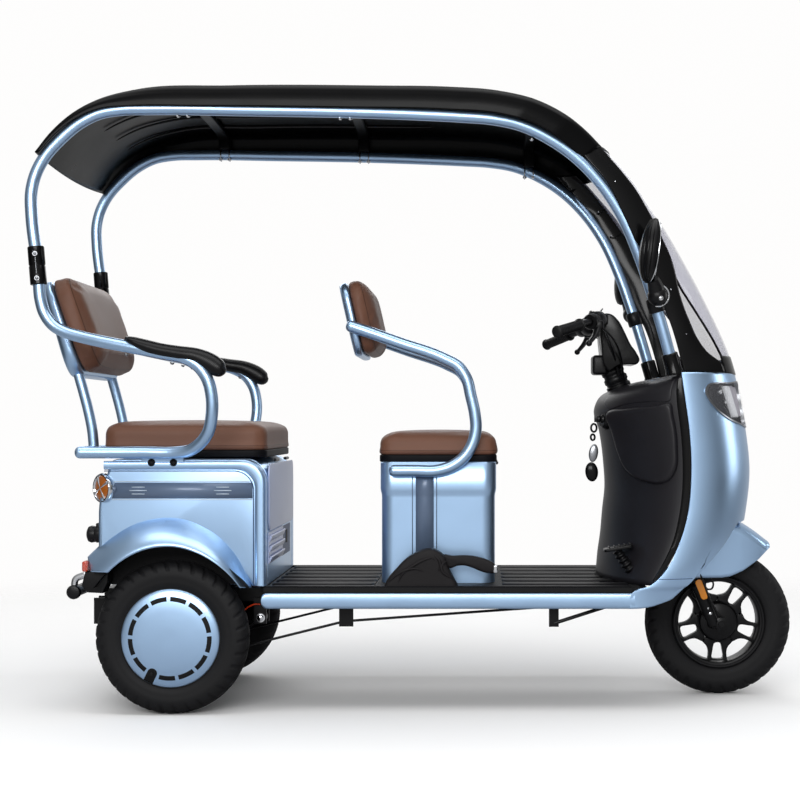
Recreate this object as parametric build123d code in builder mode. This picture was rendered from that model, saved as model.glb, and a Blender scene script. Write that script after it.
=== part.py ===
from build123d import *
from math import atan2
from math import cos
from math import radians
from math import sin
from math import tan
import os

os.makedirs("parts", exist_ok=True)

# Electric passenger tricycle. Millimetres, X forward, Y to the vehicle's left, Z up, wheels on Z = 0.

# Driving dimensions
wheelbase = 1483
rear_track = 636
front_axle_x = 830
front_tyre_radius = 205
rear_tyre_radius = 202
tyre_half_width = 42
bead_radius = 127
rake = 22
trail = 72
body_half_width = 318
canopy_overhang = 34
deck_top = 333
deck_thickness = 15
sill_height = 43
tube_radius = 16
seat_box_half_width = 218
seat_box_rear_x = -110
seat_box_front_x = 198
seat_box_top = 661
rear_box_behind_axle = 198
rear_box_ahead_of_axle = 243
rear_box_top = 670
shell_wall = 4
cushion_base_height = 15
driver_cushion_height = 64
rear_cushion_height = 78
rear_cushion_half_width = 273

# Fits
running_clearance = 0.05
fit_gap = 0.1
lid_gap = 1.0
skin_gap = 0.5
clamp_gap = 1.0

rear_axle_x = front_axle_x - wheelbase
wheel_y = rear_track / 2
canopy_half_width = body_half_width + canopy_overhang
rear_box_rear_x = rear_axle_x - rear_box_behind_axle
rear_box_front_x = rear_axle_x + rear_box_ahead_of_axle
deck_bottom = deck_top - deck_thickness
rearmost_x = rear_axle_x - 382
arch_radius = rear_tyre_radius + 40
axle_radius = 12
front_axle_radius = 7.5
steerer_radius = 17

# The steering axis leans back and meets the ground one trail ahead of the front axle
axis_foot_x = front_axle_x + trail - front_tyre_radius * tan(radians(rake))
steering_plane = Plane(
    origin=(axis_foot_x, 0, front_tyre_radius),
    x_dir=(cos(radians(rake)), 0, sin(radians(rake))),
    z_dir=(-sin(radians(rake)), 0, cos(radians(rake))),
)


def axis_point(height):
    """Point of the steering axis at a height above the ground."""
    return (axis_foot_x - (height - front_tyre_radius) * tan(radians(rake)), 0, height)


def mirrored(points):
    """The same points on the vehicle's other side."""
    return [(x, -y, z) for x, y, z in points]


def add_tube(points, bends, radius, mode=Mode.ADD):
    """A solid round bar along straight runs joined by tangent arcs."""
    with BuildLine() as route:
        if bends:
            FilletPolyline(*points, radius=bends)
        else:
            Polyline(*points)
    wire = route.wire()
    with BuildSketch(Plane(origin=wire @ 0, z_dir=wire % 0)) as ring:
        Circle(radius)
    sweep(sections=ring.sketch, path=wire, mode=mode)


def add_bar(start, end, radius):
    """A straight round bar between two points."""
    along = Vector(*end) - Vector(*start)
    with BuildSketch(Plane(origin=start, z_dir=along)) as ring:
        Circle(radius)
    extrude(ring.sketch, amount=along.length)


def cut_bar(start, end, radius):
    """A straight round hole between two points."""
    along = Vector(*end) - Vector(*start)
    with BuildSketch(Plane(origin=start, z_dir=along)) as ring:
        Circle(radius)
    extrude(ring.sketch, amount=along.length, mode=Mode.SUBTRACT)


def add_block(low, high, mode=Mode.ADD):
    """A block between its lowest and highest corners."""
    centre = [(a + b) / 2 for a, b in zip(low, high)]
    with Locations(Vector(*centre)):
        Box(*[b - a for a, b in zip(low, high)], mode=mode)


def side_profile(points, half_width, mode=Mode.ADD, y=0):
    """A plate with a side-view outline, as wide on each side of a plane at y."""
    with BuildSketch(Plane(origin=(0, y, 0), x_dir=(1, 0, 0), z_dir=(0, -1, 0))) as outline:
        with BuildLine():
            Polyline(*points, close=True)
        make_face()
    extrude(outline.sketch, amount=half_width, both=True, mode=mode)


def wheel_plane(x, y, z):
    """Section plane through a wheel's axle: its first axis is the radius, its second the width."""
    return Plane(origin=(x, y, z), x_dir=(1, 0, 0), z_dir=(0, 0, 1))


def axle_line(x, z):
    """The axle's line across the vehicle."""
    return Axis((x, 0, z), (0, 1, 0))


def finish(builder, name):
    """Label a finished piece and write its STEP file."""
    builder.part.label = name
    export_step(builder.part, f"parts/{name}.step")


# ---------------------------------------------------------------- wheels

bead_half_width = 26
bead_height = 8
tyre_side_bulge = 34
shoulder_drop = 16
tread_half_width = 34
rim_lip_radius = bead_radius + 6
rim_lip_half_width = 36


def add_tyre(x, y, z, radius):
    """A round-shouldered tyre as one closed ring, its bead on the rim."""
    with BuildSketch(wheel_plane(x, y, z)) as section:
        with BuildLine():
            left = ThreePointArc(
                (bead_radius + bead_height, bead_half_width),
                (bead_radius + tyre_side_bulge, tyre_half_width),
                (radius - shoulder_drop, tread_half_width),
            )
            crown = ThreePointArc(left @ 1, (radius, 0), (radius - shoulder_drop, -tread_half_width))
            right = ThreePointArc(
                crown @ 1,
                (bead_radius + tyre_side_bulge, -tyre_half_width),
                (bead_radius + bead_height, -bead_half_width),
            )
            Polyline(
                right @ 1,
                (bead_radius, -bead_half_width),
                (bead_radius, bead_half_width),
                left @ 0,
            )
        make_face()
    revolve(section.sketch, axis=axle_line(x, z))


with BuildPart() as front_tyre:
    add_tyre(front_axle_x, 0, front_tyre_radius, front_tyre_radius)
finish(front_tyre, "front_tyre")

hub_radius = 56
hub_half_width = 34
spoke_half_width = 12
rim_barrel_inner = 114
fork_leg_y = 66


def add_rim_barrel(x, y, z):
    """The rim's round barrel with a lip beyond each tyre bead."""
    with BuildSketch(wheel_plane(x, y, z)) as section:
        with BuildLine():
            Polyline(
                (rim_barrel_inner, -rim_lip_half_width),
                (rim_lip_radius, -rim_lip_half_width),
                (rim_lip_radius - 4, -bead_half_width - skin_gap),
                (bead_radius - 0.2, -bead_half_width - skin_gap),
                (bead_radius - 0.2, bead_half_width + skin_gap),
                (rim_lip_radius - 4, bead_half_width + skin_gap),
                (rim_lip_radius, rim_lip_half_width),
                (rim_barrel_inner, rim_lip_half_width),
                close=True,
            )
        make_face()
    revolve(section.sketch, axis=axle_line(x, z))


front_wheel_plane = Plane(
    origin=(front_axle_x, 0, front_tyre_radius), x_dir=(1, 0, 0), z_dir=(0, -1, 0)
)

with BuildPart() as front_rim:
    add_rim_barrel(front_axle_x, 0, front_tyre_radius)
    with BuildSketch(front_wheel_plane):
        Circle(hub_radius - 6)
    extrude(amount=hub_half_width, both=True)
    with BuildSketch(front_wheel_plane):
        Circle(hub_radius)
        with PolarLocations(0, 5, start_angle=-90):
            with Locations((hub_radius + (rim_barrel_inner - hub_radius) / 2, 0)):
                Trapezoid(
                    46, rim_barrel_inner - hub_radius + 16, 83, rotation=-90, mode=Mode.ADD
                )
        with PolarLocations(0, 5, start_angle=-90):
            with Locations((hub_radius + (rim_barrel_inner - hub_radius) / 2 + 4, 0)):
                Trapezoid(26, 38, 83, rotation=-90, mode=Mode.SUBTRACT)
    extrude(amount=spoke_half_width, both=True)
    with BuildSketch(front_wheel_plane):
        Circle(front_axle_radius + running_clearance)
    extrude(amount=hub_half_width + 1, both=True, mode=Mode.SUBTRACT)
finish(front_rim, "front_rim")

hubcap_radius = 129
hubcap_slot_radius = 108
hubcap_dish = 14
hubcap_seat = rim_lip_half_width + skin_gap
hubcap_flat_radius = 34
nave_inner = 4
nave_outer = 12
rear_hub_radius = 30
hub_bore = axle_radius + running_clearance

for side, sign in (("left", 1), ("right", -1)):
    y0 = sign * wheel_y
    with BuildPart() as rear_tyre:
        add_tyre(rear_axle_x, y0, rear_tyre_radius, rear_tyre_radius)
    finish(rear_tyre, f"rear_tyre_{side}")

    outer_plane = Plane(
        origin=(rear_axle_x, y0, rear_tyre_radius), x_dir=(1, 0, 0), z_dir=(0, sign, 0)
    )
    with BuildPart() as rear_rim:
        add_rim_barrel(rear_axle_x, y0, rear_tyre_radius)
        with BuildSketch(outer_plane.offset(nave_inner)):
            Circle(rim_barrel_inner + 2)
        extrude(amount=nave_outer - nave_inner)
        with BuildSketch(outer_plane.offset(nave_inner)):
            with PolarLocations(74, 5, start_angle=90):
                Circle(17)
        extrude(amount=nave_outer, mode=Mode.SUBTRACT)
        with BuildSketch(outer_plane.offset(-12)):
            Circle(rear_hub_radius)
        extrude(amount=30)
        with BuildSketch(outer_plane.offset(-14)):
            Circle(hub_bore)
        extrude(amount=40, mode=Mode.SUBTRACT)
    finish(rear_rim, f"rear_rim_{side}")

    with BuildPart() as rear_hubcap:
        cap_edge = sign * hubcap_seat
        cap_front = sign * (hubcap_seat + hubcap_dish)
        cap_middle = sign * (hubcap_seat + hubcap_dish * 0.78)
        wall = sign * shell_wall
        with BuildSketch(wheel_plane(rear_axle_x, y0, rear_tyre_radius)) as section:
            with BuildLine():
                rim_edge = Line((hubcap_radius, cap_edge), (hubcap_radius, cap_edge + wall))
                dome = ThreePointArc(
                    rim_edge @ 1,
                    (hubcap_radius * 0.65, cap_middle),
                    (hubcap_flat_radius, cap_front),
                )
                flat = Polyline(
                    dome @ 1,
                    (0, cap_front),
                    (0, cap_front - wall),
                    (hubcap_flat_radius, cap_front - wall),
                )
                back = ThreePointArc(
                    flat @ 1,
                    (hubcap_radius * 0.65, cap_middle - wall),
                    (hubcap_radius - shell_wall, cap_edge),
                )
                Line(back @ 1, rim_edge @ 0)
            make_face()
        revolve(axis=axle_line(rear_axle_x, rear_tyre_radius))
        with BuildSketch(outer_plane.offset(hubcap_seat - 2)):
            with PolarLocations(hubcap_slot_radius, 12, start_angle=15):
                SlotOverall(40, 9, rotation=90)
        extrude(amount=hubcap_dish + 6, mode=Mode.SUBTRACT)
    finish(rear_hubcap, f"rear_hubcap_{side}")

# ---------------------------------------------------------------- rear axle and springs

drum_radius = 80
drum_inner_y = wheel_y - 58
drum_outer_y = wheel_y - 18
axle_collar_y = wheel_y - 14
axle_end_y = wheel_y + 18
axle_tube_radius = 27
motor_radius = 88
motor_half_width = 70
motor_y = -40
gear_case_radius = 62
gear_case_length = 55
spring_y = 190
spring_width = 45
spring_eye_z = 243
spring_front_x = rear_axle_x + 216
spring_rear_x = rear_axle_x - 216
spring_seat_z = rear_tyre_radius - axle_tube_radius - 22


def axle_point(y):
    """A point on the rear axle's line."""
    return (rear_axle_x, y, rear_tyre_radius)


with BuildPart() as rear_axle:
    add_bar(axle_point(-drum_inner_y), axle_point(drum_inner_y), axle_tube_radius)
    add_bar(axle_point(-axle_end_y), axle_point(axle_end_y), axle_radius)
    for sign in (1, -1):
        add_bar(axle_point(sign * drum_inner_y), axle_point(sign * drum_outer_y), drum_radius)
        add_bar(axle_point(sign * drum_outer_y), axle_point(sign * axle_collar_y), axle_radius + 8)
        add_block(
            (rear_axle_x - 32, sign * spring_y - spring_width / 2, spring_seat_z + 2),
            (rear_axle_x + 32, sign * spring_y + spring_width / 2, rear_tyre_radius),
        )
finish(rear_axle, "rear_axle")

with BuildPart() as drive_motor:
    motor_end_y = motor_y + motor_half_width
    add_bar(axle_point(motor_y - motor_half_width), axle_point(motor_end_y), motor_radius)
    add_bar(axle_point(motor_end_y), axle_point(motor_end_y + gear_case_length), gear_case_radius)
    cut_bar(axle_point(-drum_inner_y), axle_point(drum_inner_y), axle_tube_radius + fit_gap)
finish(drive_motor, "drive_motor")

leaf_thickness = 7
spring_pin_radius = 6
with BuildPart() as leaf_springs:
    for index, reach in enumerate((216, 150, 95)):
        drop = spring_seat_z - leaf_thickness * index
        lift = (spring_eye_z - spring_seat_z) * (reach / 216) ** 2
        with BuildSketch(Plane(origin=(0, spring_y, 0), x_dir=(1, 0, 0), z_dir=(0, -1, 0))) as leaf:
            with BuildLine():
                under = ThreePointArc(
                    (rear_axle_x - reach, drop + lift - leaf_thickness),
                    (rear_axle_x, drop - leaf_thickness),
                    (rear_axle_x + reach, drop + lift - leaf_thickness),
                )
                end = Line(under @ 1, (rear_axle_x + reach, drop + lift))
                over = ThreePointArc(end @ 1, (rear_axle_x, drop), (rear_axle_x - reach, drop + lift))
                Line(over @ 1, under @ 0)
            make_face()
        extrude(leaf.sketch, amount=spring_width / 2, both=True)
    for x in (spring_front_x, spring_rear_x):
        add_bar(
            (x, spring_y - spring_width / 2, spring_eye_z - 4),
            (x, spring_y + spring_width / 2, spring_eye_z - 4),
            15,
        )
        cut_bar(
            (x, spring_y - spring_width / 2 - 1, spring_eye_z - 4),
            (x, spring_y + spring_width / 2 + 1, spring_eye_z - 4),
            spring_pin_radius + running_clearance,
        )
    mirror(about=Plane.XZ)
finish(leaf_springs, "leaf_springs")

# ---------------------------------------------------------------- chassis frame

rail_y = spring_y
deck_rear_x = rear_box_front_x - 12
seat_bearers = (seat_box_rear_x + 10, seat_box_front_x - 18)
rail_width = 30
rail_bottom = deck_bottom - 35
rail_rear_x = rear_box_rear_x - 10
rail_front_x = 560
head_tube_low = 300
head_tube_high = 560
head_tube_radius = 25

with BuildPart() as chassis_frame:
    for sign in (1, -1):
        add_block(
            (rail_rear_x, sign * rail_y - rail_width / 2, rail_bottom),
            (rail_front_x, sign * rail_y + rail_width / 2, deck_bottom),
        )
        add_tube(
            [
                (rail_front_x - 60, sign * rail_y, deck_bottom - 17),
                (rail_front_x + 70, sign * (rail_y - 40), deck_bottom + 30),
                (axis_point(560)[0] - 4, sign * 8, 575),
            ],
            [60],
            tube_radius + 1,
        )
        for x in (spring_front_x, spring_rear_x):
            for inner in (-1, 1):
                y = sign * spring_y + inner * (spring_width / 2 + 4)
                add_block((x - 17, y - 3, spring_eye_z - 20), (x + 17, y + 3, rail_bottom + 10))
            add_bar(
                (x, sign * (spring_y - spring_width / 2 - 7), spring_eye_z - 4),
                (x, sign * (spring_y + spring_width / 2 + 7), spring_eye_z - 4),
                spring_pin_radius,
            )
    for x in (rail_rear_x + 15, rear_axle_x + 125, rear_box_front_x - 15, *seat_bearers, rail_front_x - 20):
        add_block((x - 15, -rail_y, rail_bottom + 2), (x + 15, rail_y, deck_bottom))
    for x in (deck_rear_x + 42, *seat_bearers, rail_front_x - 60):
        for sign in (1, -1):
            y_low = min(sign * rail_y, sign * (body_half_width - 12))
            y_high = max(sign * rail_y, sign * (body_half_width - 12))
            add_block((x - 12, y_low, deck_bottom - 24), (x + 12, y_high, deck_bottom))
    with BuildSketch(steering_plane.offset(head_tube_low)):
        Circle(head_tube_radius)
    extrude(amount=head_tube_high - head_tube_low)
    with BuildSketch(steering_plane.offset(head_tube_low - 10)):
        Circle(steerer_radius + running_clearance)
    extrude(amount=head_tube_high - head_tube_low + 20, mode=Mode.SUBTRACT)
finish(chassis_frame, "chassis_frame")

# ---------------------------------------------------------------- deck and sills

deck_front_x = 600
sill_thickness = 6
sill_bottom = deck_bottom - sill_height
sill_front_x = 565

mat_height = 3
rib_pitch = 24
rib_count = int(2 * (body_half_width - 14) / rib_pitch)
foot_panel_rear_x = deck_rear_x + 32
foot_panel_front_x = seat_box_rear_x - 15
rib_start_x = foot_panel_front_x + 5
rib_end_x = deck_front_x - 20
tube_notch_x = rail_front_x - 78
tube_notch_low_y = rail_y - 70
tube_notch_high_y = rail_y + 24

with BuildPart() as floor_deck:
    with BuildSketch(Plane.XY.offset(deck_bottom)):
        with Locations(((deck_rear_x + deck_front_x) / 2, 0)):
            Rectangle(deck_front_x - deck_rear_x, 2 * body_half_width)
    extrude(amount=deck_thickness - mat_height)
    # A plain foot panel behind the driver's box, and ribs along the deck from there forward
    with BuildSketch(Plane.XY.offset(deck_top - mat_height)):
        with Locations(((foot_panel_rear_x + foot_panel_front_x) / 2, 0)):
            Rectangle(foot_panel_front_x - foot_panel_rear_x, 2 * (body_half_width - 16))
        with Locations(((rib_start_x + rib_end_x) / 2, 0)):
            with GridLocations(0, rib_pitch, 1, rib_count):
                Rectangle(rib_end_x - rib_start_x, rib_pitch - 8)
    extrude(amount=mat_height)
    fillet(floor_deck.edges().filter_by(Axis.Z).group_by(Axis.X)[0], radius=11)
    for sign in (1, -1):
        notch_low_y = min(sign * tube_notch_low_y, sign * tube_notch_high_y)
        notch_width = tube_notch_high_y - tube_notch_low_y
        add_block(
            (tube_notch_x, notch_low_y, deck_bottom - 1),
            (deck_front_x + 1, notch_low_y + notch_width, deck_top + 1),
            mode=Mode.SUBTRACT,
        )
        edge_low_y = min(sign * (body_half_width - 12), sign * (body_half_width + 1))
        add_block(
            (sill_front_x - 6, edge_low_y, deck_bottom - 1),
            (deck_front_x + 1, edge_low_y + 13, deck_top + 1),
            mode=Mode.SUBTRACT,
        )
finish(floor_deck, "floor_deck")

with BuildPart() as side_sills:
    with BuildSketch(Plane(origin=(0, body_half_width, 0), x_dir=(1, 0, 0), z_dir=(0, -1, 0))) as web:
        with Locations(((deck_rear_x + sill_front_x) / 2, (sill_bottom + deck_bottom) / 2)):
            Rectangle(sill_front_x - deck_rear_x, deck_bottom - sill_bottom - skin_gap)
        fillet(web.vertices().group_by(Axis.X)[0], radius=16)
    extrude(web.sketch, amount=sill_thickness)
    add_block(
        (deck_rear_x + 30, body_half_width - 26, sill_bottom + 1),
        (sill_front_x, body_half_width - sill_thickness, sill_bottom + 1 + sill_thickness),
    )
    mirror(about=Plane.XZ)
finish(side_sills, "side_sills")

# ---------------------------------------------------------------- front fairing and leg shield

# Height, rear flange X, half-width and nose X of the fairing's level sections
fairing_levels = (
    (262, 566, body_half_width - 1, 800),
    (318, 569, body_half_width - 2, 836),
    (362, 648, body_half_width - 6, 862),
    (434, 687, body_half_width - 12, 886),
    (521, 709, body_half_width - 17, 904),
    (632, 719, body_half_width - 20, 915),
    (747, 714, body_half_width - 21, 904),
    (830, 703, body_half_width - 22, 889),
    (900, 693, body_half_width - 23, 874),
)
fairing_top = fairing_levels[-1][0]
fairing_lower_edge = (
    (560, 255),
    (581, 270),
    (634, 286),
    (687, 308),
    (727, 330),
    (762, 362),
    (808, 424),
    (857, 492),
    (900, 496),
    (960, 496),
    (960, 250),
)


def nose_section(height, flange_x, half_width, nose_x):
    """A level section: straight across the flange, then round to the nose."""
    reach = nose_x - flange_x
    with BuildSketch(Plane.XY.offset(height)) as section:
        with BuildLine():
            Bezier(
                (flange_x, half_width),
                (flange_x + reach * 0.55, half_width),
                (nose_x, half_width * 0.62),
                (nose_x, 0),
            )
            Bezier(
                (nose_x, 0),
                (nose_x, -half_width * 0.62),
                (flange_x + reach * 0.55, -half_width),
                (flange_x, -half_width),
            )
            Line((flange_x, -half_width), (flange_x, half_width))
        make_face()
    return section.sketch


fairing_inside = [
    (height, flange - 12, half - shell_wall, nose - shell_wall)
    for height, flange, half, nose in fairing_levels
]
fairing_inside[0] = (fairing_inside[0][0] - 4, *fairing_inside[0][1:])
fairing_inside[-1] = (fairing_inside[-1][0] + 4, *fairing_inside[-1][1:])

lamp_outline = ((748, 858), (762, 872), (905, 868), (925, 760), (868, 762), (812, 786), (776, 822))
lamp_inner_y = 66


def add_nose(levels, mode=Mode.ADD):
    """The fairing's volume: straight-sided beside the deck, smooth above it."""
    sections = [nose_section(*level) for level in levels]
    loft(sections[:2], ruled=True, mode=mode)
    loft(sections[1:], mode=mode)


with BuildPart() as front_fairing:
    add_nose(fairing_levels)
    add_nose(fairing_inside, mode=Mode.SUBTRACT)
    side_profile(fairing_lower_edge, body_half_width + 20, mode=Mode.SUBTRACT)
    for sign in (1, -1):
        lamp_middle = sign * (lamp_inner_y + body_half_width) / 2
        lamp_reach = (body_half_width - lamp_inner_y) / 2
        side_profile(lamp_outline, lamp_reach, mode=Mode.SUBTRACT, y=lamp_middle)
finish(front_fairing, "front_fairing")

# Height, front edge X, half-width and rearmost X of the leg shield's level sections
shield_levels = (
    (deck_top + skin_gap, 622, body_half_width - 22, 489),
    (400, 664, body_half_width - 21, 494),
    (450, 688, body_half_width - 22, 501),
    (518, 706, body_half_width - 24, 507),
    (590, 715, body_half_width - 26, 514),
    (646, 717, body_half_width - 27, 511),
    (746, 712, body_half_width - 28, 498),
    (803, 705, body_half_width - 29, 484),
    (838, 700, body_half_width - 30, 502),
    (856, 697, body_half_width - 31, 534),
)
shield_cap_levels = (
    shield_levels[-1],
    (878, 695, body_half_width - 32, 620),
    (892, 694, body_half_width - 33, 672),
)
collar_hole_radius = 38
lock_y = -46
lock_z = 780
lock_radius = 14


def shield_section(height, front_x, half_width, rear_x):
    """A level section: straight across the front, then round to the rear."""
    reach = front_x - rear_x
    with BuildSketch(Plane.XY.offset(height)) as section:
        with BuildLine():
            Bezier(
                (front_x, half_width),
                (front_x - reach * 0.35, half_width),
                (rear_x, half_width * 0.5),
                (rear_x, 0),
            )
            Bezier(
                (rear_x, 0),
                (rear_x, -half_width * 0.5),
                (front_x - reach * 0.35, -half_width),
                (front_x, -half_width),
            )
            Line((front_x, -half_width), (front_x, half_width))
        make_face()
    return section.sketch


shield_inside = [
    (height, front + 10, half - shell_wall, rear + shell_wall) for height, front, half, rear in shield_levels
]
shield_inside[0] = (shield_inside[0][0] - 4, *shield_inside[0][1:])

with BuildPart() as leg_shield:
    loft([shield_section(*level) for level in shield_levels])
    loft([shield_section(*level) for level in shield_cap_levels], ruled=True)
    loft([shield_section(*level) for level in shield_inside], mode=Mode.SUBTRACT)
    with BuildSketch(steering_plane.offset(600)):
        Circle(collar_hole_radius)
    extrude(amount=200, mode=Mode.SUBTRACT)
    cut_bar((530, lock_y, lock_z), (460, lock_y, lock_z), lock_radius + skin_gap)
finish(leg_shield, "leg_shield")

# ---------------------------------------------------------------- canopy frame

sleeve_low = (rear_axle_x - 345, 1125)
sleeve_high = (rear_axle_x - 354, 1229)
tube_meeting_z = 1177
sleeve_radius = tube_radius + 6
canopy_end = (672, canopy_half_width - 81, 915)
canopy_route = [
    (rear_axle_x - 349.5, canopy_half_width, tube_meeting_z),
    (rearmost_x + tube_radius - 2.5, canopy_half_width, 1420),
    (rear_axle_x - 209, canopy_half_width, 1586),
    (rear_axle_x + 353, canopy_half_width, 1582),
    (251, canopy_half_width - 11, 1561),
    (409, canopy_half_width - 35, 1475),
    (524, canopy_half_width - 48, 1349),
    (604, canopy_half_width - 64, 1149),
    canopy_end,
]
canopy_bends = [80, 181, 2500, 330, 320, 420, 1400]

with BuildPart() as roof_tubes:
    for route_points in (canopy_route, mirrored(canopy_route)):
        add_tube(route_points, canopy_bends, tube_radius)
finish(roof_tubes, "roof_tubes")

# ---------------------------------------------------------------- rear seat frame

arm_tube_z = 688
arm_foot_y = body_half_width + 27
arm_route = [
    (rear_axle_x - 349.5, canopy_half_width, tube_meeting_z - 2),
    (rear_axle_x - 333, canopy_half_width, 1016),
    (rear_axle_x + 118, body_half_width + 93, 917),
    (rear_axle_x + 118, body_half_width + 62, arm_tube_z),
    (rear_axle_x - 239, arm_foot_y, arm_tube_z),
]
arm_bends = [70, 82, 94]
post_y = 193
post_route = [
    (rear_axle_x - 239, post_y, arm_tube_z),
    (rear_axle_x - 261, post_y, 800),
    (rear_axle_x - 279, post_y, 892),
]

# Each arm stands on a plate bolted to the rear box's side
arm_plate_rear_x = rear_axle_x - 137
arm_plate_front_x = rear_axle_x - 27
arm_plate_inner_y = body_half_width + skin_gap
arm_plate_low_z = 648
arm_seat_z = 692
with BuildPart() as rear_arms:
    for sign in (1, -1):
        add_tube(arm_route if sign > 0 else mirrored(arm_route), arm_bends, tube_radius)
        for low_z, outer_y in ((arm_plate_low_z, body_half_width + 6), (arm_seat_z - 8, arm_foot_y)):
            add_block(
                (arm_plate_rear_x, min(sign * arm_plate_inner_y, sign * outer_y), low_z),
                (arm_plate_front_x, max(sign * arm_plate_inner_y, sign * outer_y), arm_seat_z),
            )
finish(rear_arms, "rear_arms")

with BuildPart() as backrest_posts:
    cross_x = rear_axle_x - 239
    cross_y = arm_foot_y - tube_radius - 2
    add_bar((cross_x, -cross_y, arm_tube_z), (cross_x, cross_y, arm_tube_z), tube_radius)
    for points in (post_route, mirrored(post_route)):
        add_tube(points, [600], tube_radius - 3)
finish(backrest_posts, "backrest_posts")

pad_half_width = 27
pad_y = body_half_width + 82
pad_outline = (
    (rear_axle_x - 108, 991),
    (rear_axle_x - 59, 976),
    (rear_axle_x + 64, 966),
    (rear_axle_x + 90, 957),
    (rear_axle_x + 136, 922),
    (rear_axle_x + 138, 909),
    (rear_axle_x + 129, 900),
    (rear_axle_x + 112, 897),
    (rear_axle_x + 97, 915),
    (rear_axle_x + 64, 932),
    (rear_axle_x - 20, 944),
    (rear_axle_x - 59, 954),
    (rear_axle_x - 108, 978),
)
with BuildPart() as armrest_pads:
    for sign in (1, -1):
        side_profile(pad_outline, pad_half_width, y=sign * pad_y)
    for route_points in (arm_route, mirrored(arm_route)):
        add_tube(route_points, arm_bends, tube_radius + skin_gap / 2, mode=Mode.SUBTRACT)
finish(armrest_pads, "armrest_pads")

# ---------------------------------------------------------------- rear backrest

rear_back_low = (rear_axle_x - 252, 904)
rear_back_high = (rear_axle_x - 328, 1150)
rear_back_half_width = 250
rear_back_thickness = 50
back_shell_thickness = 24


def leaning_plane(low, high):
    """Plane of a backrest's rear face: X across, Y up along the lean."""
    lean = (high[0] - low[0], 0, high[1] - low[1])
    across = (0, 1, 0)
    return Plane(origin=(low[0], 0, low[1]), x_dir=across, z_dir=Vector(*across).cross(Vector(*lean)))


def lean_length(low, high):
    """Height of a backrest along its own face."""
    return ((high[0] - low[0]) ** 2 + (high[1] - low[1]) ** 2) ** 0.5


def backrest(low, high, half_width, thickness, corner):
    """A rounded pad on a leaning plane."""
    height = lean_length(low, high)
    with BuildSketch(leaning_plane(low, high)) as outline:
        with Locations((0, height / 2)):
            RectangleRounded(2 * half_width, height, corner)
    extrude(outline.sketch, amount=thickness)


with BuildPart() as rear_backrest:
    backrest(rear_back_low, rear_back_high, rear_back_half_width, rear_back_thickness, 75)
finish(rear_backrest, "rear_backrest")

# ---------------------------------------------------------------- driver's backrest and arms

driver_back_low = (seat_box_rear_x - 51, 953)
driver_back_high = (seat_box_rear_x - 94, 1150)
driver_back_half_width = seat_box_half_width - 22
driver_back_thickness = 42
driver_arm_y = seat_box_half_width + tube_radius + 1
driver_arm_z = seat_box_top - 24
driver_arm_route = [
    (seat_box_rear_x + 38, driver_arm_y, driver_arm_z),
    (seat_box_rear_x + 267, driver_arm_y, driver_arm_z),
    (seat_box_rear_x + 226, driver_arm_y, 915),
    (seat_box_rear_x - 82, driver_back_half_width + 21, 1022),
]
driver_arm_bends = [96, 74]

with BuildPart() as driver_arms:
    for sign in (1, -1):
        route_points = driver_arm_route if sign > 0 else mirrored(driver_arm_route)
        add_tube(route_points, driver_arm_bends, tube_radius)
        for x in (seat_box_rear_x + 65, seat_box_rear_x + 130):
            box_side = (x, sign * (seat_box_half_width + skin_gap), driver_arm_z)
            add_bar(box_side, (x, sign * driver_arm_y, driver_arm_z), 9)
        stud_x = seat_box_rear_x - 77
        shell_side = (stud_x, sign * (driver_back_half_width - 2 + skin_gap), 1018)
        add_bar((stud_x, sign * (driver_back_half_width + 21), 1018), shell_side, 5)
finish(driver_arms, "driver_arms")

with BuildPart() as driver_backrest:
    backrest(driver_back_low, driver_back_high, driver_back_half_width, driver_back_thickness, 60)
finish(driver_backrest, "driver_backrest")

with BuildPart() as backrest_shells:
    for low, high, half_width in (
        (rear_back_low, rear_back_high, rear_back_half_width),
        (driver_back_low, driver_back_high, driver_back_half_width),
    ):
        height = lean_length(low, high)
        with BuildSketch(leaning_plane(low, high).offset(-skin_gap)) as outline:
            with Locations((0, height / 2)):
                RectangleRounded(2 * half_width - 4, height - 10, 60)
        extrude(outline.sketch, amount=-back_shell_thickness)
finish(backrest_shells, "backrest_shells")

# ---------------------------------------------------------------- rear box

rear_box_bottom = deck_top + skin_gap
well_y = wheel_y - tyre_half_width - 16
flare_reach = 62
flare_rise = 70
mudguard_tail = 37
box_corner = 30

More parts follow.
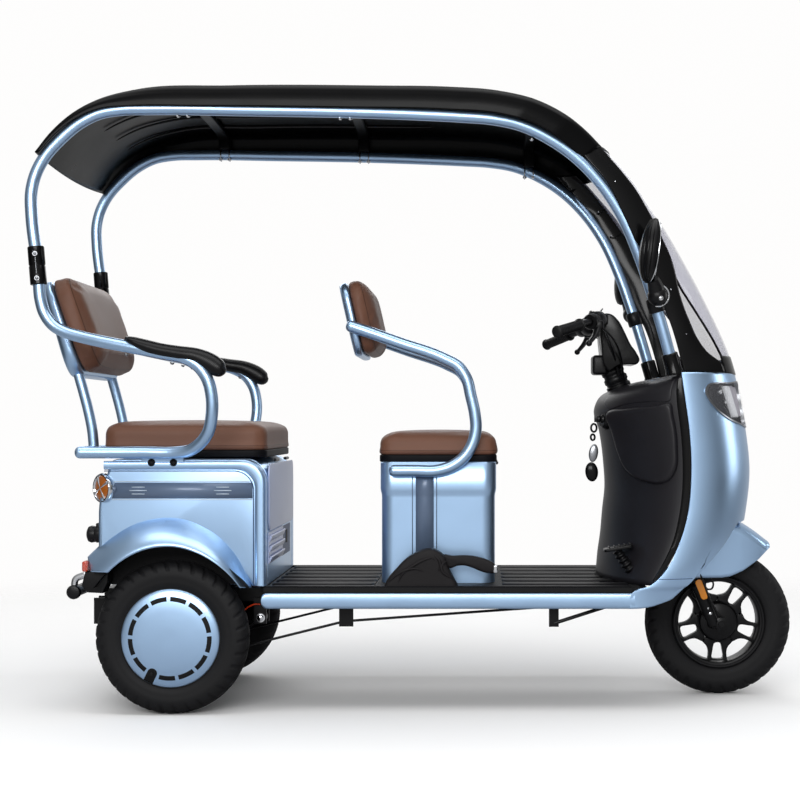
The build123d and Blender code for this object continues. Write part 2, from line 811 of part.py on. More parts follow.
with BuildPart() as rear_box:
    with BuildSketch(Plane.XY.offset(rear_box_bottom)) as footprint:
        with Locations(((rear_box_rear_x + rear_box_front_x) / 2, 0)):
            Rectangle(rear_box_front_x - rear_box_rear_x, 2 * body_half_width)
        fillet(footprint.vertices().group_by(Axis.X)[0], radius=box_corner)
    extrude(amount=rear_box_top - rear_box_bottom)
    # Each mudguard turns round the wheel's axle, curving from the box's side out to its lip
    for sign in (1, -1):
        box_side = sign * body_half_width
        lip_side = sign * (body_half_width + flare_reach)
        inside = sign * (body_half_width - 18)
        with BuildSketch(wheel_plane(rear_axle_x, 0, rear_tyre_radius)) as flare:
            with BuildLine():
                bulge = ThreePointArc(
                    (arch_radius, lip_side),
                    (arch_radius + flare_rise * 0.7, box_side + (lip_side - box_side) * 0.62),
                    (arch_radius + flare_rise, box_side),
                )
                Polyline(
                    bulge @ 0,
                    (arch_radius - 10, lip_side),
                    (arch_radius - 10, inside),
                    (arch_radius + flare_rise, inside),
                    bulge @ 1,
                )
            make_face()
        revolve(axis=axle_line(rear_axle_x, rear_tyre_radius))
    # Nothing of the mudguards below the box, ahead of its front or far behind it
    far_y = body_half_width + flare_reach + 20
    front_cut_x = rear_box_front_x + 200
    rear_cut_x = rear_box_rear_x - 200
    add_block((rear_cut_x, -far_y, -300), (front_cut_x, far_y, rear_box_bottom), mode=Mode.SUBTRACT)
    add_block((rear_box_front_x, -far_y, 0), (front_cut_x, far_y, 900), mode=Mode.SUBTRACT)
    add_block((rear_cut_x, -far_y, 0), (rear_box_rear_x - mudguard_tail, far_y, 900), mode=Mode.SUBTRACT)
    for sign in (1, -1):
        cut_bar(
            (rear_axle_x, sign * well_y, rear_tyre_radius),
            (rear_axle_x, sign * far_y, rear_tyre_radius),
            arch_radius,
        )
    add_block(
        (rear_box_rear_x + shell_wall, -well_y + shell_wall, rear_box_bottom + shell_wall),
        (rear_box_front_x - shell_wall, well_y - shell_wall, rear_box_top + 1),
        mode=Mode.SUBTRACT,
    )
    with BuildSketch(Plane.XY.offset(rear_tyre_radius + arch_radius + shell_wall)) as upper:
        with Locations(((rear_box_rear_x + rear_box_front_x) / 2, 0)):
            Rectangle(
                rear_box_front_x - rear_box_rear_x - 2 * shell_wall, 2 * (body_half_width - shell_wall)
            )
        fillet(upper.vertices().group_by(Axis.X)[0], radius=box_corner - shell_wall)
    extrude(upper.sketch, amount=400, mode=Mode.SUBTRACT)
finish(rear_box, "rear_box")

front_panel_thickness = 6
front_panel_half_width = body_half_width - 68
with BuildPart() as rear_box_panel:
    add_block(
        (rear_box_front_x + skin_gap, -front_panel_half_width, rear_box_bottom + 40),
        (rear_box_front_x + skin_gap + front_panel_thickness, front_panel_half_width, rear_box_top - 60),
    )
    with BuildSketch(Plane.YZ.offset(rear_box_front_x + skin_gap + front_panel_thickness)) as slots:
        with Locations((0, rear_box_bottom + 100)):
            with GridLocations(0, 18, 1, 5):
                SlotOverall(2 * front_panel_half_width - 140, 8)
    extrude(slots.sketch, amount=-3, mode=Mode.SUBTRACT)
finish(rear_box_panel, "rear_box_panel")

battery_half_width = 190
with BuildPart() as battery_pack:
    add_block(
        (rear_box_rear_x + 60, -battery_half_width, rear_box_bottom + shell_wall),
        (rear_box_front_x - 60, battery_half_width, rear_box_bottom + 175),
    )
finish(battery_pack, "battery_pack")

# ---------------------------------------------------------------- driver's seat box

box_radius = 28

with BuildPart() as driver_seat_box:
    with BuildSketch(Plane.XY.offset(deck_top)) as footprint:
        with Locations(((seat_box_rear_x + seat_box_front_x) / 2, 0)):
            RectangleRounded(
                seat_box_front_x - seat_box_rear_x, 2 * seat_box_half_width, box_radius
            )
    extrude(footprint.sketch, amount=seat_box_top - deck_top)
    with BuildSketch(Plane.XY.offset(deck_top + shell_wall)) as inside:
        with Locations(((seat_box_rear_x + seat_box_front_x) / 2, 0)):
            RectangleRounded(
                seat_box_front_x - seat_box_rear_x - 2 * shell_wall,
                2 * (seat_box_half_width - shell_wall),
                box_radius - shell_wall,
            )
    extrude(inside.sketch, amount=seat_box_top - deck_top, mode=Mode.SUBTRACT)
finish(driver_seat_box, "driver_seat_box")

# ---------------------------------------------------------------- seat lids on front hinges

hinge_pin_radius = 3
knuckle_radius = 6
knuckle_half_width = 14
hinge_y = 120
driver_hinge_x = seat_box_front_x + 9
driver_hinge_z = seat_box_top - 8
rear_hinge_x = rear_box_front_x + 9
rear_hinge_z = rear_box_top - 8
driver_base_front_x = driver_hinge_x + 5
rear_base_front_x = rear_hinge_x + 5


def add_hinge_ears(x, z, wall_x):
    """Two ears on each side of each knuckle, and the pin through them."""
    for sign in (1, -1):
        for side in (-1, 1):
            y = sign * hinge_y + side * (knuckle_half_width + 4)
            add_bar((x, y - 2.5, z), (x, y + 2.5, z), knuckle_radius)
            add_block((wall_x, y - 2.5, z - knuckle_radius), (x, y + 2.5, z + 3))
        add_bar(
            (x, sign * hinge_y - knuckle_half_width - 6, z),
            (x, sign * hinge_y + knuckle_half_width + 6, z),
            hinge_pin_radius,
        )


def add_lid_base(rear_x, front_x, half_width, bottom, height, hinge_x, hinge_z):
    """The seat's base tray with a bored knuckle under its front edge for each hinge."""
    with BuildSketch(Plane.XY.offset(bottom)) as tray:
        with Locations(((rear_x + front_x) / 2, 0)):
            RectangleRounded(front_x - rear_x, 2 * half_width, 26)
    extrude(tray.sketch, amount=height)
    for sign in (1, -1):
        add_bar(
            (hinge_x, sign * hinge_y - knuckle_half_width, hinge_z),
            (hinge_x, sign * hinge_y + knuckle_half_width, hinge_z),
            knuckle_radius,
        )
        add_block(
            (hinge_x - 2, sign * hinge_y - knuckle_half_width, hinge_z + 2),
            (hinge_x + 3, sign * hinge_y + knuckle_half_width, bottom + 1),
        )
        cut_bar(
            (hinge_x, sign * hinge_y - knuckle_half_width - 1, hinge_z),
            (hinge_x, sign * hinge_y + knuckle_half_width + 1, hinge_z),
            hinge_pin_radius + running_clearance,
        )


with BuildPart() as seat_hinges:
    add_hinge_ears(driver_hinge_x, driver_hinge_z, seat_box_front_x)
    add_hinge_ears(rear_hinge_x, rear_hinge_z, rear_box_front_x)
finish(seat_hinges, "seat_hinges")

driver_base_rear_x = seat_box_rear_x - 6
driver_base_bottom = seat_box_top + lid_gap
driver_cushion_half_width = seat_box_half_width - 6
rear_base_rear_x = rear_box_rear_x + 2
rear_base_bottom = rear_box_top + lid_gap

with BuildPart() as driver_seat_base:
    add_lid_base(
        driver_base_rear_x + 4,
        driver_base_front_x,
        driver_cushion_half_width - 4,
        driver_base_bottom,
        cushion_base_height,
        driver_hinge_x,
        driver_hinge_z,
    )
finish(driver_seat_base, "driver_seat_base")

with BuildPart() as rear_seat_base:
    add_lid_base(
        rear_base_rear_x + 4,
        rear_base_front_x,
        rear_cushion_half_width - 4,
        rear_base_bottom,
        cushion_base_height,
        rear_hinge_x,
        rear_hinge_z,
    )
finish(rear_seat_base, "rear_seat_base")


def add_cushion(rear_x, front_x, half_width, bottom, height):
    """A seat cushion with rounded corners and a soft upper edge."""
    with BuildSketch(Plane.XY.offset(bottom)) as outline:
        with Locations(((rear_x + front_x) / 2, 0)):
            RectangleRounded(front_x - rear_x, 2 * half_width, 40)
    extrude(outline.sketch, amount=height)


with BuildPart() as driver_cushion:
    add_cushion(
        driver_base_rear_x,
        driver_base_front_x,
        driver_cushion_half_width,
        driver_base_bottom + cushion_base_height,
        driver_cushion_height,
    )
    fillet(driver_cushion.faces().sort_by(Axis.Z)[-1].edges(), radius=22)
finish(driver_cushion, "driver_cushion")

with BuildPart() as rear_cushion:
    add_cushion(
        rear_base_rear_x,
        rear_base_front_x,
        rear_cushion_half_width,
        rear_base_bottom + cushion_base_height,
        rear_cushion_height,
    )
    fillet(rear_cushion.faces().sort_by(Axis.Z)[-1].edges(), radius=26)
finish(rear_cushion, "rear_cushion")

# ---------------------------------------------------------------- roof

roof_half_width = canopy_half_width + 14
roof_skin = 5
roof_upper = (
    (rear_axle_x - 364, 1462),
    (rear_axle_x - 319, 1524),
    (rear_axle_x - 255, 1582),
    (rear_axle_x - 185, 1622),
    (rear_axle_x - 80, 1650),
    (rear_axle_x + 153, 1660),
    (80, 1656),
    (209, 1644),
    (314, 1612),
    (400, 1566),
    (474, 1501),
)
roof_side_z = 1592
crossbar_xs = (rear_axle_x + 38, rear_axle_x + 457, 215)
crossbar_width = 34
crossbar_height = 18


def offset_line(points, distance):
    """A polyline moved sideways by a distance, to the right of its direction."""
    moved = []
    for index, (x, z) in enumerate(points):
        before = points[max(index - 1, 0)]
        after = points[min(index + 1, len(points) - 1)]
        angle = atan2(after[1] - before[1], after[0] - before[0])
        moved.append((x + distance * sin(angle), z - distance * cos(angle)))
    return moved


roof_side_edge = (
    (380, 1558),
    (300, 1594),
    (235, roof_side_z),
    (rear_axle_x - 107, roof_side_z + 10),
    (rear_axle_x - 209, 1580),
)
roof_inside = offset_line(roof_upper, roof_skin)

with BuildPart() as roof_panel:
    side_profile([*roof_upper, *roof_side_edge], roof_half_width)
    side_profile(
        [(roof_inside[0][0] - 40, 1440), *roof_inside, (roof_inside[-1][0] + 40, 1440)],
        roof_half_width - roof_skin,
        mode=Mode.SUBTRACT,
    )
    # Its side walls are notched over the roof tubes
    for route_points in (canopy_route, mirrored(canopy_route)):
        add_tube(route_points, canopy_bends, tube_radius + clamp_gap, mode=Mode.SUBTRACT)
finish(roof_panel, "roof_panel")

with BuildPart() as roof_crossbars:
    for x in crossbar_xs:
        bar_half = canopy_half_width - tube_radius - 2
        add_block(
            (x - crossbar_width / 2, -bar_half, 1598),
            (x + crossbar_width / 2, bar_half, 1598 + crossbar_height),
        )
    for x in crossbar_xs[:2]:
        for sign in (1, -1):
            y_low = min(sign * (canopy_half_width - 22), sign * (canopy_half_width - 60))
            y_high = max(sign * (canopy_half_width - 22), sign * (canopy_half_width - 60))
            add_block((x - 19, y_low, 1562), (x + 19, y_high, 1600))
finish(roof_crossbars, "roof_crossbars")

# ---------------------------------------------------------------- canopy clamps


def pillar_point(distance, sign):
    """A point on a roof tube's front leg, a distance up from its lower end."""
    foot = Vector(*canopy_route[-1])
    up = (Vector(*canopy_route[-2]) - foot).normalized()
    point = foot + up * distance
    return (point.X, sign * point.Y, point.Z)


with BuildPart() as canopy_couplings:
    for sign in (1, -1):
        low = (sleeve_low[0], sign * canopy_half_width, sleeve_low[1])
        high = (sleeve_high[0], sign * canopy_half_width, sleeve_high[1])
        add_bar(low, high, sleeve_radius)
        cut_bar(low, high, tube_radius + clamp_gap)
        add_bar(pillar_point(-14, sign), pillar_point(32, sign), sleeve_radius)
        cut_bar(pillar_point(-skin_gap, sign), pillar_point(33, sign), tube_radius + clamp_gap)
finish(canopy_couplings, "canopy_couplings")

# ---------------------------------------------------------------- windscreen

# Height, side edge X and half-width, centre X and wall of the screen's level sections
screen_levels = (
    (902, 700, body_half_width - 30, 872, 5),
    (950, 688, body_half_width - 30, 860, 5),
    (1030, 668, body_half_width - 26, 834, 5),
    (1143, 634, body_half_width - 15, 780, 5),
    (1250, 592, body_half_width - 6, 726, 6),
    (1348, 546, body_half_width + 2, 668, 7),
    (1428, 500, body_half_width + 17, 610, 9),
    (1488, 428, body_half_width + 26, 508, 14),
)


def screen_section(height, edge_x, half_width, centre_x, wall):
    """A level band of the curved sheet, from edge to edge."""
    with BuildSketch(Plane.XY.offset(height)) as section:
        with BuildLine():
            outer = Spline(
                (edge_x, half_width),
                (edge_x + (centre_x - edge_x) * 0.62, half_width * 0.7),
                (centre_x, 0),
                (edge_x + (centre_x - edge_x) * 0.62, -half_width * 0.7),
                (edge_x, -half_width),
            )
            inner = Spline(
                (edge_x - wall, half_width - wall / 2),
                (edge_x + (centre_x - edge_x) * 0.62 - wall, half_width * 0.7 - wall / 2),
                (centre_x - wall, 0),
                (edge_x + (centre_x - edge_x) * 0.62 - wall, -half_width * 0.7 + wall / 2),
                (edge_x - wall, -half_width + wall / 2),
            )
            Line(outer @ 0, inner @ 0)
            Line(outer @ 1, inner @ 1)
        make_face()
    return section.sketch


with BuildPart() as windscreen:
    loft([screen_section(*level) for level in screen_levels])
finish(windscreen, "windscreen")

# The black side panels close the space between each roof tube and the screen
with BuildPart() as windscreen_panels:
    for sign in (1, -1):
        sections = []
        for height, edge_x, half, centre_x, wall in screen_levels[:-1]:
            with BuildSketch(Plane.XY.offset(height)) as strip:
                with BuildLine():
                    Polyline(
                        (edge_x + 2, sign * (half - 26)),
                        (edge_x + 38, sign * (half - 67)),
                        (edge_x + 33, sign * (half - 72)),
                        (edge_x - 2, sign * (half - 31)),
                        close=True,
                    )
                make_face()
            sections.append(strip.sketch)
        loft(sections, ruled=True)
finish(windscreen_panels, "windscreen_panels")

# ---------------------------------------------------------------- lamps

lamp_stand_out = 2
lens_levels = [
    (height, flange, half + lamp_stand_out, nose + lamp_stand_out)
    for height, flange, half, nose in fairing_levels
]

with BuildPart() as headlights:
    add_nose(lens_levels)
    add_nose(fairing_inside, mode=Mode.SUBTRACT)
    with BuildSketch(Plane(origin=(0, 0, 0), x_dir=(1, 0, 0), z_dir=(0, -1, 0))) as outline:
        with BuildLine():
            Polyline(*lamp_outline, close=True)
        make_face()
        offset(amount=-skin_gap)
    extrude(outline.sketch, amount=body_half_width, both=True, mode=Mode.INTERSECT)
    inner_y = lamp_inner_y + skin_gap
    add_block((600, -inner_y, 700), (960, inner_y, 900), mode=Mode.SUBTRACT)
finish(headlights, "headlights")

with BuildPart() as tail_lamps:
    for sign in (1, -1):
        out = Vector(-0.82, sign * 0.57, 0).normalized()
        corner = Vector(rear_box_rear_x + box_corner, sign * (body_half_width - box_corner), 591)
        foot = corner + out * (box_corner + skin_gap)
        with BuildSketch(Plane(origin=foot, x_dir=(0, 0, 1), z_dir=out)) as lens:
            Ellipse(36, 20)
        extrude(lens.sketch, amount=16)
finish(tail_lamps, "tail_lamps")

# ---------------------------------------------------------------- steering

fork_crown_low = front_tyre_radius + 20
fork_crown_height = 22
stem_low = 700
stem_high = 880
stem_radius = 26
bar_radius = 11
grip_radius = 17
grip_length = 122
grip_start = (362, 330, 1006)
bar_route = [grip_start, (470, 168, 1046), (506, 60, 1056), (506, -60, 1056), (470, -168, 1046)]
bar_route.append((grip_start[0], -grip_start[1], grip_start[2]))


def steering_point(forward, y, up):
    """A point given along the steering axis, ahead of it and to the side."""
    return tuple(steering_plane.from_local_coords(Vector(forward, y, up)))


with BuildPart() as front_fork:
    for sign in (1, -1):
        leg_top = steering_point(0, sign * fork_leg_y, fork_crown_low + fork_crown_height)
        leg_foot = (front_axle_x, sign * fork_leg_y, front_tyre_radius)
        add_bar(leg_foot, leg_top, 17)
        add_bar(
            (front_axle_x, sign * (fork_leg_y - 17), front_tyre_radius),
            (front_axle_x, sign * (fork_leg_y + 17), front_tyre_radius),
            20,
        )
    add_bar(
        (front_axle_x, -fork_leg_y - 22, front_tyre_radius),
        (front_axle_x, fork_leg_y + 22, front_tyre_radius),
        front_axle_radius,
    )
    with BuildSketch(steering_plane.offset(fork_crown_low)):
        SlotOverall(2 * fork_leg_y + 44, 46, rotation=90)
    extrude(amount=fork_crown_height)
    with BuildSketch(steering_plane.offset(fork_crown_low + fork_crown_height)):
        Circle(steerer_radius)
    extrude(amount=stem_low + 20 - fork_crown_low - fork_crown_height)
    # A stay from the crown holds the mudguard
    add_bar(steering_point(10, 0, fork_crown_low + 8), (772, 0, front_tyre_radius + 286), 7)
finish(front_fork, "front_fork")

with BuildPart() as handlebar:
    add_tube(bar_route, [120, 40, 40, 120], bar_radius)
    with BuildSketch(steering_plane.offset(stem_low + 20)):
        Circle(stem_radius)
    extrude(amount=stem_high - stem_low)
    add_bar(steering_point(0, 0, stem_high), (506, 0, 1056), 15)
finish(handlebar, "handlebar")

with BuildPart() as grips:
    for sign in (1, -1):
        outer_end = Vector(grip_start[0], sign * grip_start[1], grip_start[2])
        inner_way = (Vector(470, sign * 168, 1046) - outer_end).normalized()
        start = outer_end - inner_way * 4
        with BuildSketch(Plane(origin=start, z_dir=inner_way)) as ring:
            Circle(grip_radius)
        extrude(ring.sketch, amount=grip_length)
        with BuildSketch(Plane(origin=outer_end, z_dir=inner_way)) as bore:
            Circle(bar_radius + fit_gap)
        extrude(bore.sketch, amount=grip_length, mode=Mode.SUBTRACT)
finish(grips, "grips")

cowl_half_width = 62
with BuildPart() as handlebar_cover:
    side_profile(
        [(486, 992), (478, 1062), (500, 1080), (536, 1076), (580, 1024), (612, 938), (560, 932), (528, 962)],
        cowl_half_width,
    )
    fillet(handlebar_cover.edges().filter_by(Axis.Y), radius=7)
    for sign in (1, -1):
        cut_bar((506, 0, 1056), (506, sign * 80, 1056), bar_radius + 5)
    cut_bar(steering_point(0, 0, stem_low), steering_point(0, 0, stem_high + 60), stem_radius + 1)
    cut_bar(steering_point(0, 0, stem_high - 10), (506, 0, 1056), 20)
    # The switch box is strapped to the stem behind the cover
    add_block((474, -44, 902), (514, 44, 956))
    cut_bar(steering_point(0, 0, stem_low), steering_point(0, 0, stem_high), stem_radius + skin_gap)
finish(handlebar_cover, "handlebar_cover")

with BuildPart() as brake_levers:
    for sign in (1, -1):
        clamp = (458, sign * 186, 1041)
        with BuildSketch(Plane(origin=clamp, z_dir=Vector(-108, sign * 162, -40))) as ring:
            Circle(21)
            Circle(bar_radius + fit_gap, mode=Mode.SUBTRACT)
        extrude(ring.sketch, amount=-26)
        add_tube(
            [(478, sign * 180, 1030), (462, sign * 215, 1006), (412, sign * 300, 962)],
            [40],
            5,
        )
        with Locations((412, sign * 300, 962)):
            Sphere(9)
finish(brake_levers, "brake_levers")

# X, half-width and crown height of the front mudguard's upright sections
fender_levels = (
    (748, 92, front_tyre_radius + 293),
    (800, 92, front_tyre_radius + 303),
    (850, 91, front_tyre_radius + 300),
    (890, 88, front_tyre_radius + 284),
    (930, 80, front_tyre_radius + 257),
    (974, 64, front_tyre_radius + 222),
)
fender_shoulder = 56
fender_bottom = front_tyre_radius + 100
fender_lower_edge = (
    (740, front_tyre_radius + 123),
    (788, front_tyre_radius + 123),
    (853, front_tyre_radius + 126),
    (935, front_tyre_radius + 177),
    (974, front_tyre_radius + 224),
    (990, front_tyre_radius + 224),
    (990, fender_bottom - 20),
    (740, fender_bottom - 20),
)


def fender_section(x, half_width, crown):
    """An upright section across the front mudguard: straight sides under a round crown."""
    shoulder = crown - fender_shoulder
    with BuildSketch(Plane(origin=(x, 0, 0), x_dir=(0, 1, 0), z_dir=(1, 0, 0))) as section:
        with BuildLine():
            Line((-half_width, fender_bottom), (-half_width, shoulder))
            Bezier((-half_width, shoulder), (-half_width, crown - 6), (-half_width / 2, crown), (0, crown))
            Bezier((0, crown), (half_width / 2, crown), (half_width, crown - 6), (half_width, shoulder))
            Line((half_width, shoulder), (half_width, fender_bottom))
            Line((half_width, fender_bottom), (-half_width, fender_bottom))
        make_face()
    return section.sketch


fender_inside = [(x, half - shell_wall, crown - shell_wall) for x, half, crown in fender_levels]
fender_inside[0] = (fender_inside[0][0] - 4, *fender_inside[0][1:])
fender_inside[-1] = (fender_inside[-1][0] + 4, *fender_inside[-1][1:])

with BuildPart() as front_fender:
    loft([fender_section(*level) for level in fender_levels])
    loft([fender_section(*level) for level in fender_inside], mode=Mode.SUBTRACT)
    side_profile(fender_lower_edge, body_half_width, mode=Mode.SUBTRACT)
finish(front_fender, "front_fender")

# ---------------------------------------------------------------- mirrors

mirror_y = body_half_width + 60
mirror_z = 1214
mirror_x = 606
mirror_clamp_radius = tube_radius + 8
with BuildPart() as mirrors:
    for sign in (1, -1):
        add_bar(pillar_point(140, sign), pillar_point(172, sign), mirror_clamp_radius)
        cut_bar(pillar_point(138, sign), pillar_point(174, sign), tube_radius + clamp_gap)
        ball = (mirror_x + 26, sign * (mirror_y - 24), mirror_z - 112)
        clamp_x, clamp_y, clamp_z = pillar_point(156, 1)
        add_bar((clamp_x, sign * (clamp_y + tube_radius + 8), clamp_z), ball, 9)
        add_bar(ball, (mirror_x + 6, sign * mirror_y, mirror_z - 70), 11)
        head_plane = Plane(
            origin=(mirror_x, sign * mirror_y, mirror_z), x_dir=(0, 1, 0), z_dir=(-0.98, 0, 0.2)
        )
        with BuildSketch(head_plane) as head:
            Ellipse(50, 84)
        extrude(head.sketch, amount=13, both=True)
finish(mirrors, "mirrors")

# ---------------------------------------------------------------- foot controls and small fittings

parking_brake_y = 33 - body_half_width
with BuildPart() as parking_brake:
    side_profile(
        [
            (seat_box_rear_x + 22, deck_top),
            (seat_box_rear_x + 32, deck_top + 13),
            (seat_box_rear_x + 72, deck_top + 39),
            (seat_box_rear_x + 104, deck_top + 49),
            (seat_box_rear_x + 140, deck_top + 43),
            (seat_box_rear_x + 172, deck_top + 19),
            (seat_box_rear_x + 202, deck_top + 9),
            (seat_box_rear_x + 206, deck_top),
        ],
        26,
        y=parking_brake_y,
    )
    lever_foot = (seat_box_rear_x + 172, parking_brake_y, deck_top + 19)
    add_bar(lever_foot, (seat_box_rear_x + 282, parking_brake_y, deck_top + 39), 8)
finish(parking_brake, "parking_brake")

with BuildPart() as brake_pedal:
    add_tube([(535, -225, deck_top + 2), (530, -225, 372), (508, -225, 404)], [22], 7)
    with BuildSketch(Plane(origin=(508, -225, 404), z_dir=(-0.86, 0, 0.5))) as pad:
        RectangleRounded(56, 60, 10)
    extrude(pad.sketch, amount=10)
finish(brake_pedal, "brake_pedal")

bumper_x = rear_axle_x - 274
bumper_z = 306
bumper_half_width = 280
with BuildPart() as rear_bumper:
    add_bar((bumper_x, -bumper_half_width, bumper_z), (bumper_x, bumper_half_width, bumper_z), 17)
    for sign in (1, -1):
        low_y = min(sign * rail_y - 15, sign * rail_y + 15)
        add_block((bumper_x, low_y, bumper_z - 6), (rail_rear_x - skin_gap, low_y + 30, bumper_z + 6))
finish(rear_bumper, "rear_bumper")

rod_y = 235
rod_idler_x = rear_axle_x + 447
idler_z = 232
rod_route = [
    (rear_axle_x + 43, rod_y, 132),
    (rod_idler_x, rod_y, idler_z),
    (480, rod_y, 281),
]
lever_x = 356
lever_y = -rod_y - 14
bracket_top = deck_bottom - skin_gap
with BuildPart() as brake_rods:
    for points in (rod_route, mirrored(rod_route)):
        for start, end in zip(points, points[1:]):
            add_bar(start, end, 3.5)
        y_low = points[0][1] - 4
        add_block((rod_idler_x - 16, y_low, idler_z - 14), (rod_idler_x + 22, y_low + 8, bracket_top))
    # The pedal's lever hangs from its own bracket
    add_block((lever_x - 14, lever_y - 4, 219), (lever_x + 12, lever_y + 4, bracket_top))
    add_bar((lever_x, lever_y, 228), (530, lever_y, 284), 5)
finish(brake_rods, "brake_rods")

with BuildPart() as ignition_key:
    add_bar((508, lock_y, lock_z), (476, lock_y, lock_z), lock_radius)
    add_block((453, lock_y - 1.5, lock_z - 12), (477, lock_y + 1.5, lock_z + 12))
    add_tube([(462, lock_y, lock_z), (466, lock_y, 752), (468, lock_y, 735)], [60], 3)
    add_block((456, lock_y - 16, 672), (474, lock_y + 16, 736))
    add_block((458, lock_y - 20, 604), (472, lock_y + 12, 673))
finish(ignition_key, "ignition_key")
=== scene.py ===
import bmesh
import bpy
import numpy as np
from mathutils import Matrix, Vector


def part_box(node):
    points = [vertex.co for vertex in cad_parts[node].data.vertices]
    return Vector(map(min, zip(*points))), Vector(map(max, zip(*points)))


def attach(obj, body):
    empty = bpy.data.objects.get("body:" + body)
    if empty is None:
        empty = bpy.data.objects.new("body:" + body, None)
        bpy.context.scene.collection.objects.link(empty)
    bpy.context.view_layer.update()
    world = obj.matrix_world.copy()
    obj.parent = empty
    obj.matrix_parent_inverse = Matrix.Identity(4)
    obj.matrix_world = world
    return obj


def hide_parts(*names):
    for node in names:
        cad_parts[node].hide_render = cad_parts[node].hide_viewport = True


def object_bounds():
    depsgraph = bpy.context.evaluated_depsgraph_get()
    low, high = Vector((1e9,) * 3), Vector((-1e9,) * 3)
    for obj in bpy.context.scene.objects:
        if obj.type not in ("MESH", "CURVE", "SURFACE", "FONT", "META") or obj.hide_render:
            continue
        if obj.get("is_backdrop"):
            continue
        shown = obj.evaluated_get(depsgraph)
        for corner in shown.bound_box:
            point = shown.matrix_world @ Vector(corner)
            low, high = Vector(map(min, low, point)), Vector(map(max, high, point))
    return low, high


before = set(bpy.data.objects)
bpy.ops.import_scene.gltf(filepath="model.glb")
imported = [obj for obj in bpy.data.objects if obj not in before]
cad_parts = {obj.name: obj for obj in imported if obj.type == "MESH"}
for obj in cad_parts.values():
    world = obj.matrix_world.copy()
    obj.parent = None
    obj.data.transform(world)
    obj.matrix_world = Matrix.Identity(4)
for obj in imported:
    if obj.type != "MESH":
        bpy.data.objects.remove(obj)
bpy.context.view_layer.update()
mm = 0.001


# Curves and surfaces. Every piece is a grid of points from a formula, in millimetres.

def unit(vector):
    return vector / np.linalg.norm(vector, axis=-1, keepdims=True)


def circle(count):
    return np.linspace(0, 2 * np.pi, count, endpoint=False)


def quarter(count):
    return np.linspace(0, np.pi / 2, count)


# cubic curve through the points, by chord length, sampled evenly
def smoothLine(points, count, closed=False):
    p = np.array(points, float)
    if closed:
        p = np.vstack([p[-3:], p, p[:4]])
    t = np.concatenate([[0], np.cumsum(np.linalg.norm(np.diff(p, axis=0), axis=1))])
    slope = np.gradient(p, t, axis=0)
    first, last = (t[3], t[-4]) if closed else (t[0], t[-1])
    u = np.linspace(first, last, count, endpoint=not closed)
    k = np.clip(np.searchsorted(t, u, side="right") - 1, 0, len(t) - 2)
    h = (t[k + 1] - t[k])[:, None]
    s = (u - t[k])[:, None] / h
    return ((2 * s**3 - 3 * s**2 + 1) * p[k] + (s**3 - 2 * s**2 + s) * h * slope[k]
            + (3 * s**2 - 2 * s**3) * p[k + 1] + (s**3 - s**2) * h * slope[k + 1])


# a line given seen from the side, (forward, up), placed at the distance y across
def sideLine(line, y):
    line = np.asarray(line, float)
    return np.stack([line[:, 0], np.broadcast_to(np.asarray(y, float), len(line)), line[:, 1]], -1)


# points and faces of a grid; wrap joins its last column to its first, caps close its end rows
def sheetPart(grid, wrap=False, caps=False):
    rows, cols = grid.shape[:2]
    r = np.arange(rows - 1)[:, None] * cols
    c = np.arange(cols if wrap else cols - 1)[None, :]
    n = (c + 1) % cols
    faces = np.stack([r + c, r + n, r + cols + n, r + cols + c], -1).reshape(-1, 4).tolist()
    if caps:
        faces += [list(range(cols)), list(range((rows - 1) * cols, rows * cols))]
    return grid.reshape(-1, 3), faces


# a circle, or an oval widened by squash, carried along the path without twist
def tubePart(path, radius, sides=20, squash=1.0, capped=True):
    path = np.array(path, float)
    radius = np.broadcast_to(np.array(radius, float), len(path))
    along = unit(np.gradient(path, axis=0))
    start = np.array([0, 0, 1.0]) if abs(along[0][2]) < 0.9 else np.array([0, 1.0, 0])
    across = np.empty_like(path)
    side = start - along[0] * (start @ along[0])
    for i, a in enumerate(along):
        side = unit(side - a * (side @ a))
        across[i] = side
    other = np.cross(along, across)
    turn = circle(sides)[None, :, None]
    wider = np.broadcast_to(np.array(squash, float), len(path))[:, None, None]
    ring = np.cos(turn) * across[:, None] + wider * np.sin(turn) * other[:, None]
    return sheetPart(path[:, None] + radius[:, None, None] * ring, wrap=True, caps=capped)


# a straight bar with a small chamfer at both ends
def rodPart(start, end, radius, sides=20, edge=0.0):
    start, end = np.array(start, float), np.array(end, float)
    if not edge:
        return tubePart([start, end], radius, sides)
    way = unit(end - start)
    path = [start, start + way * edge, end - way * edge, end]
    return tubePart(path, [radius - edge, radius, radius, radius - edge], sides)


# a profile of (radius, distance along the axis) turned about the axis
def lathePart(profile, centre, axis, sides=64, close=False):
    profile = np.array(profile, float)
    axis = unit(np.array(axis, float))
    helper = np.array([0, 0, 1.0]) if abs(axis[2]) < 0.9 else np.array([1.0, 0, 0])
    across = unit(np.cross(axis, helper))
    turn = circle(sides)[:, None]
    ring = np.cos(turn) * across + np.sin(turn) * np.cross(axis, across)
    grid = (np.array(centre, float) + profile[:, 1, None, None] * axis
            + profile[:, 0, None, None] * ring[None])
    return sheetPart(grid, wrap=True, caps=close)


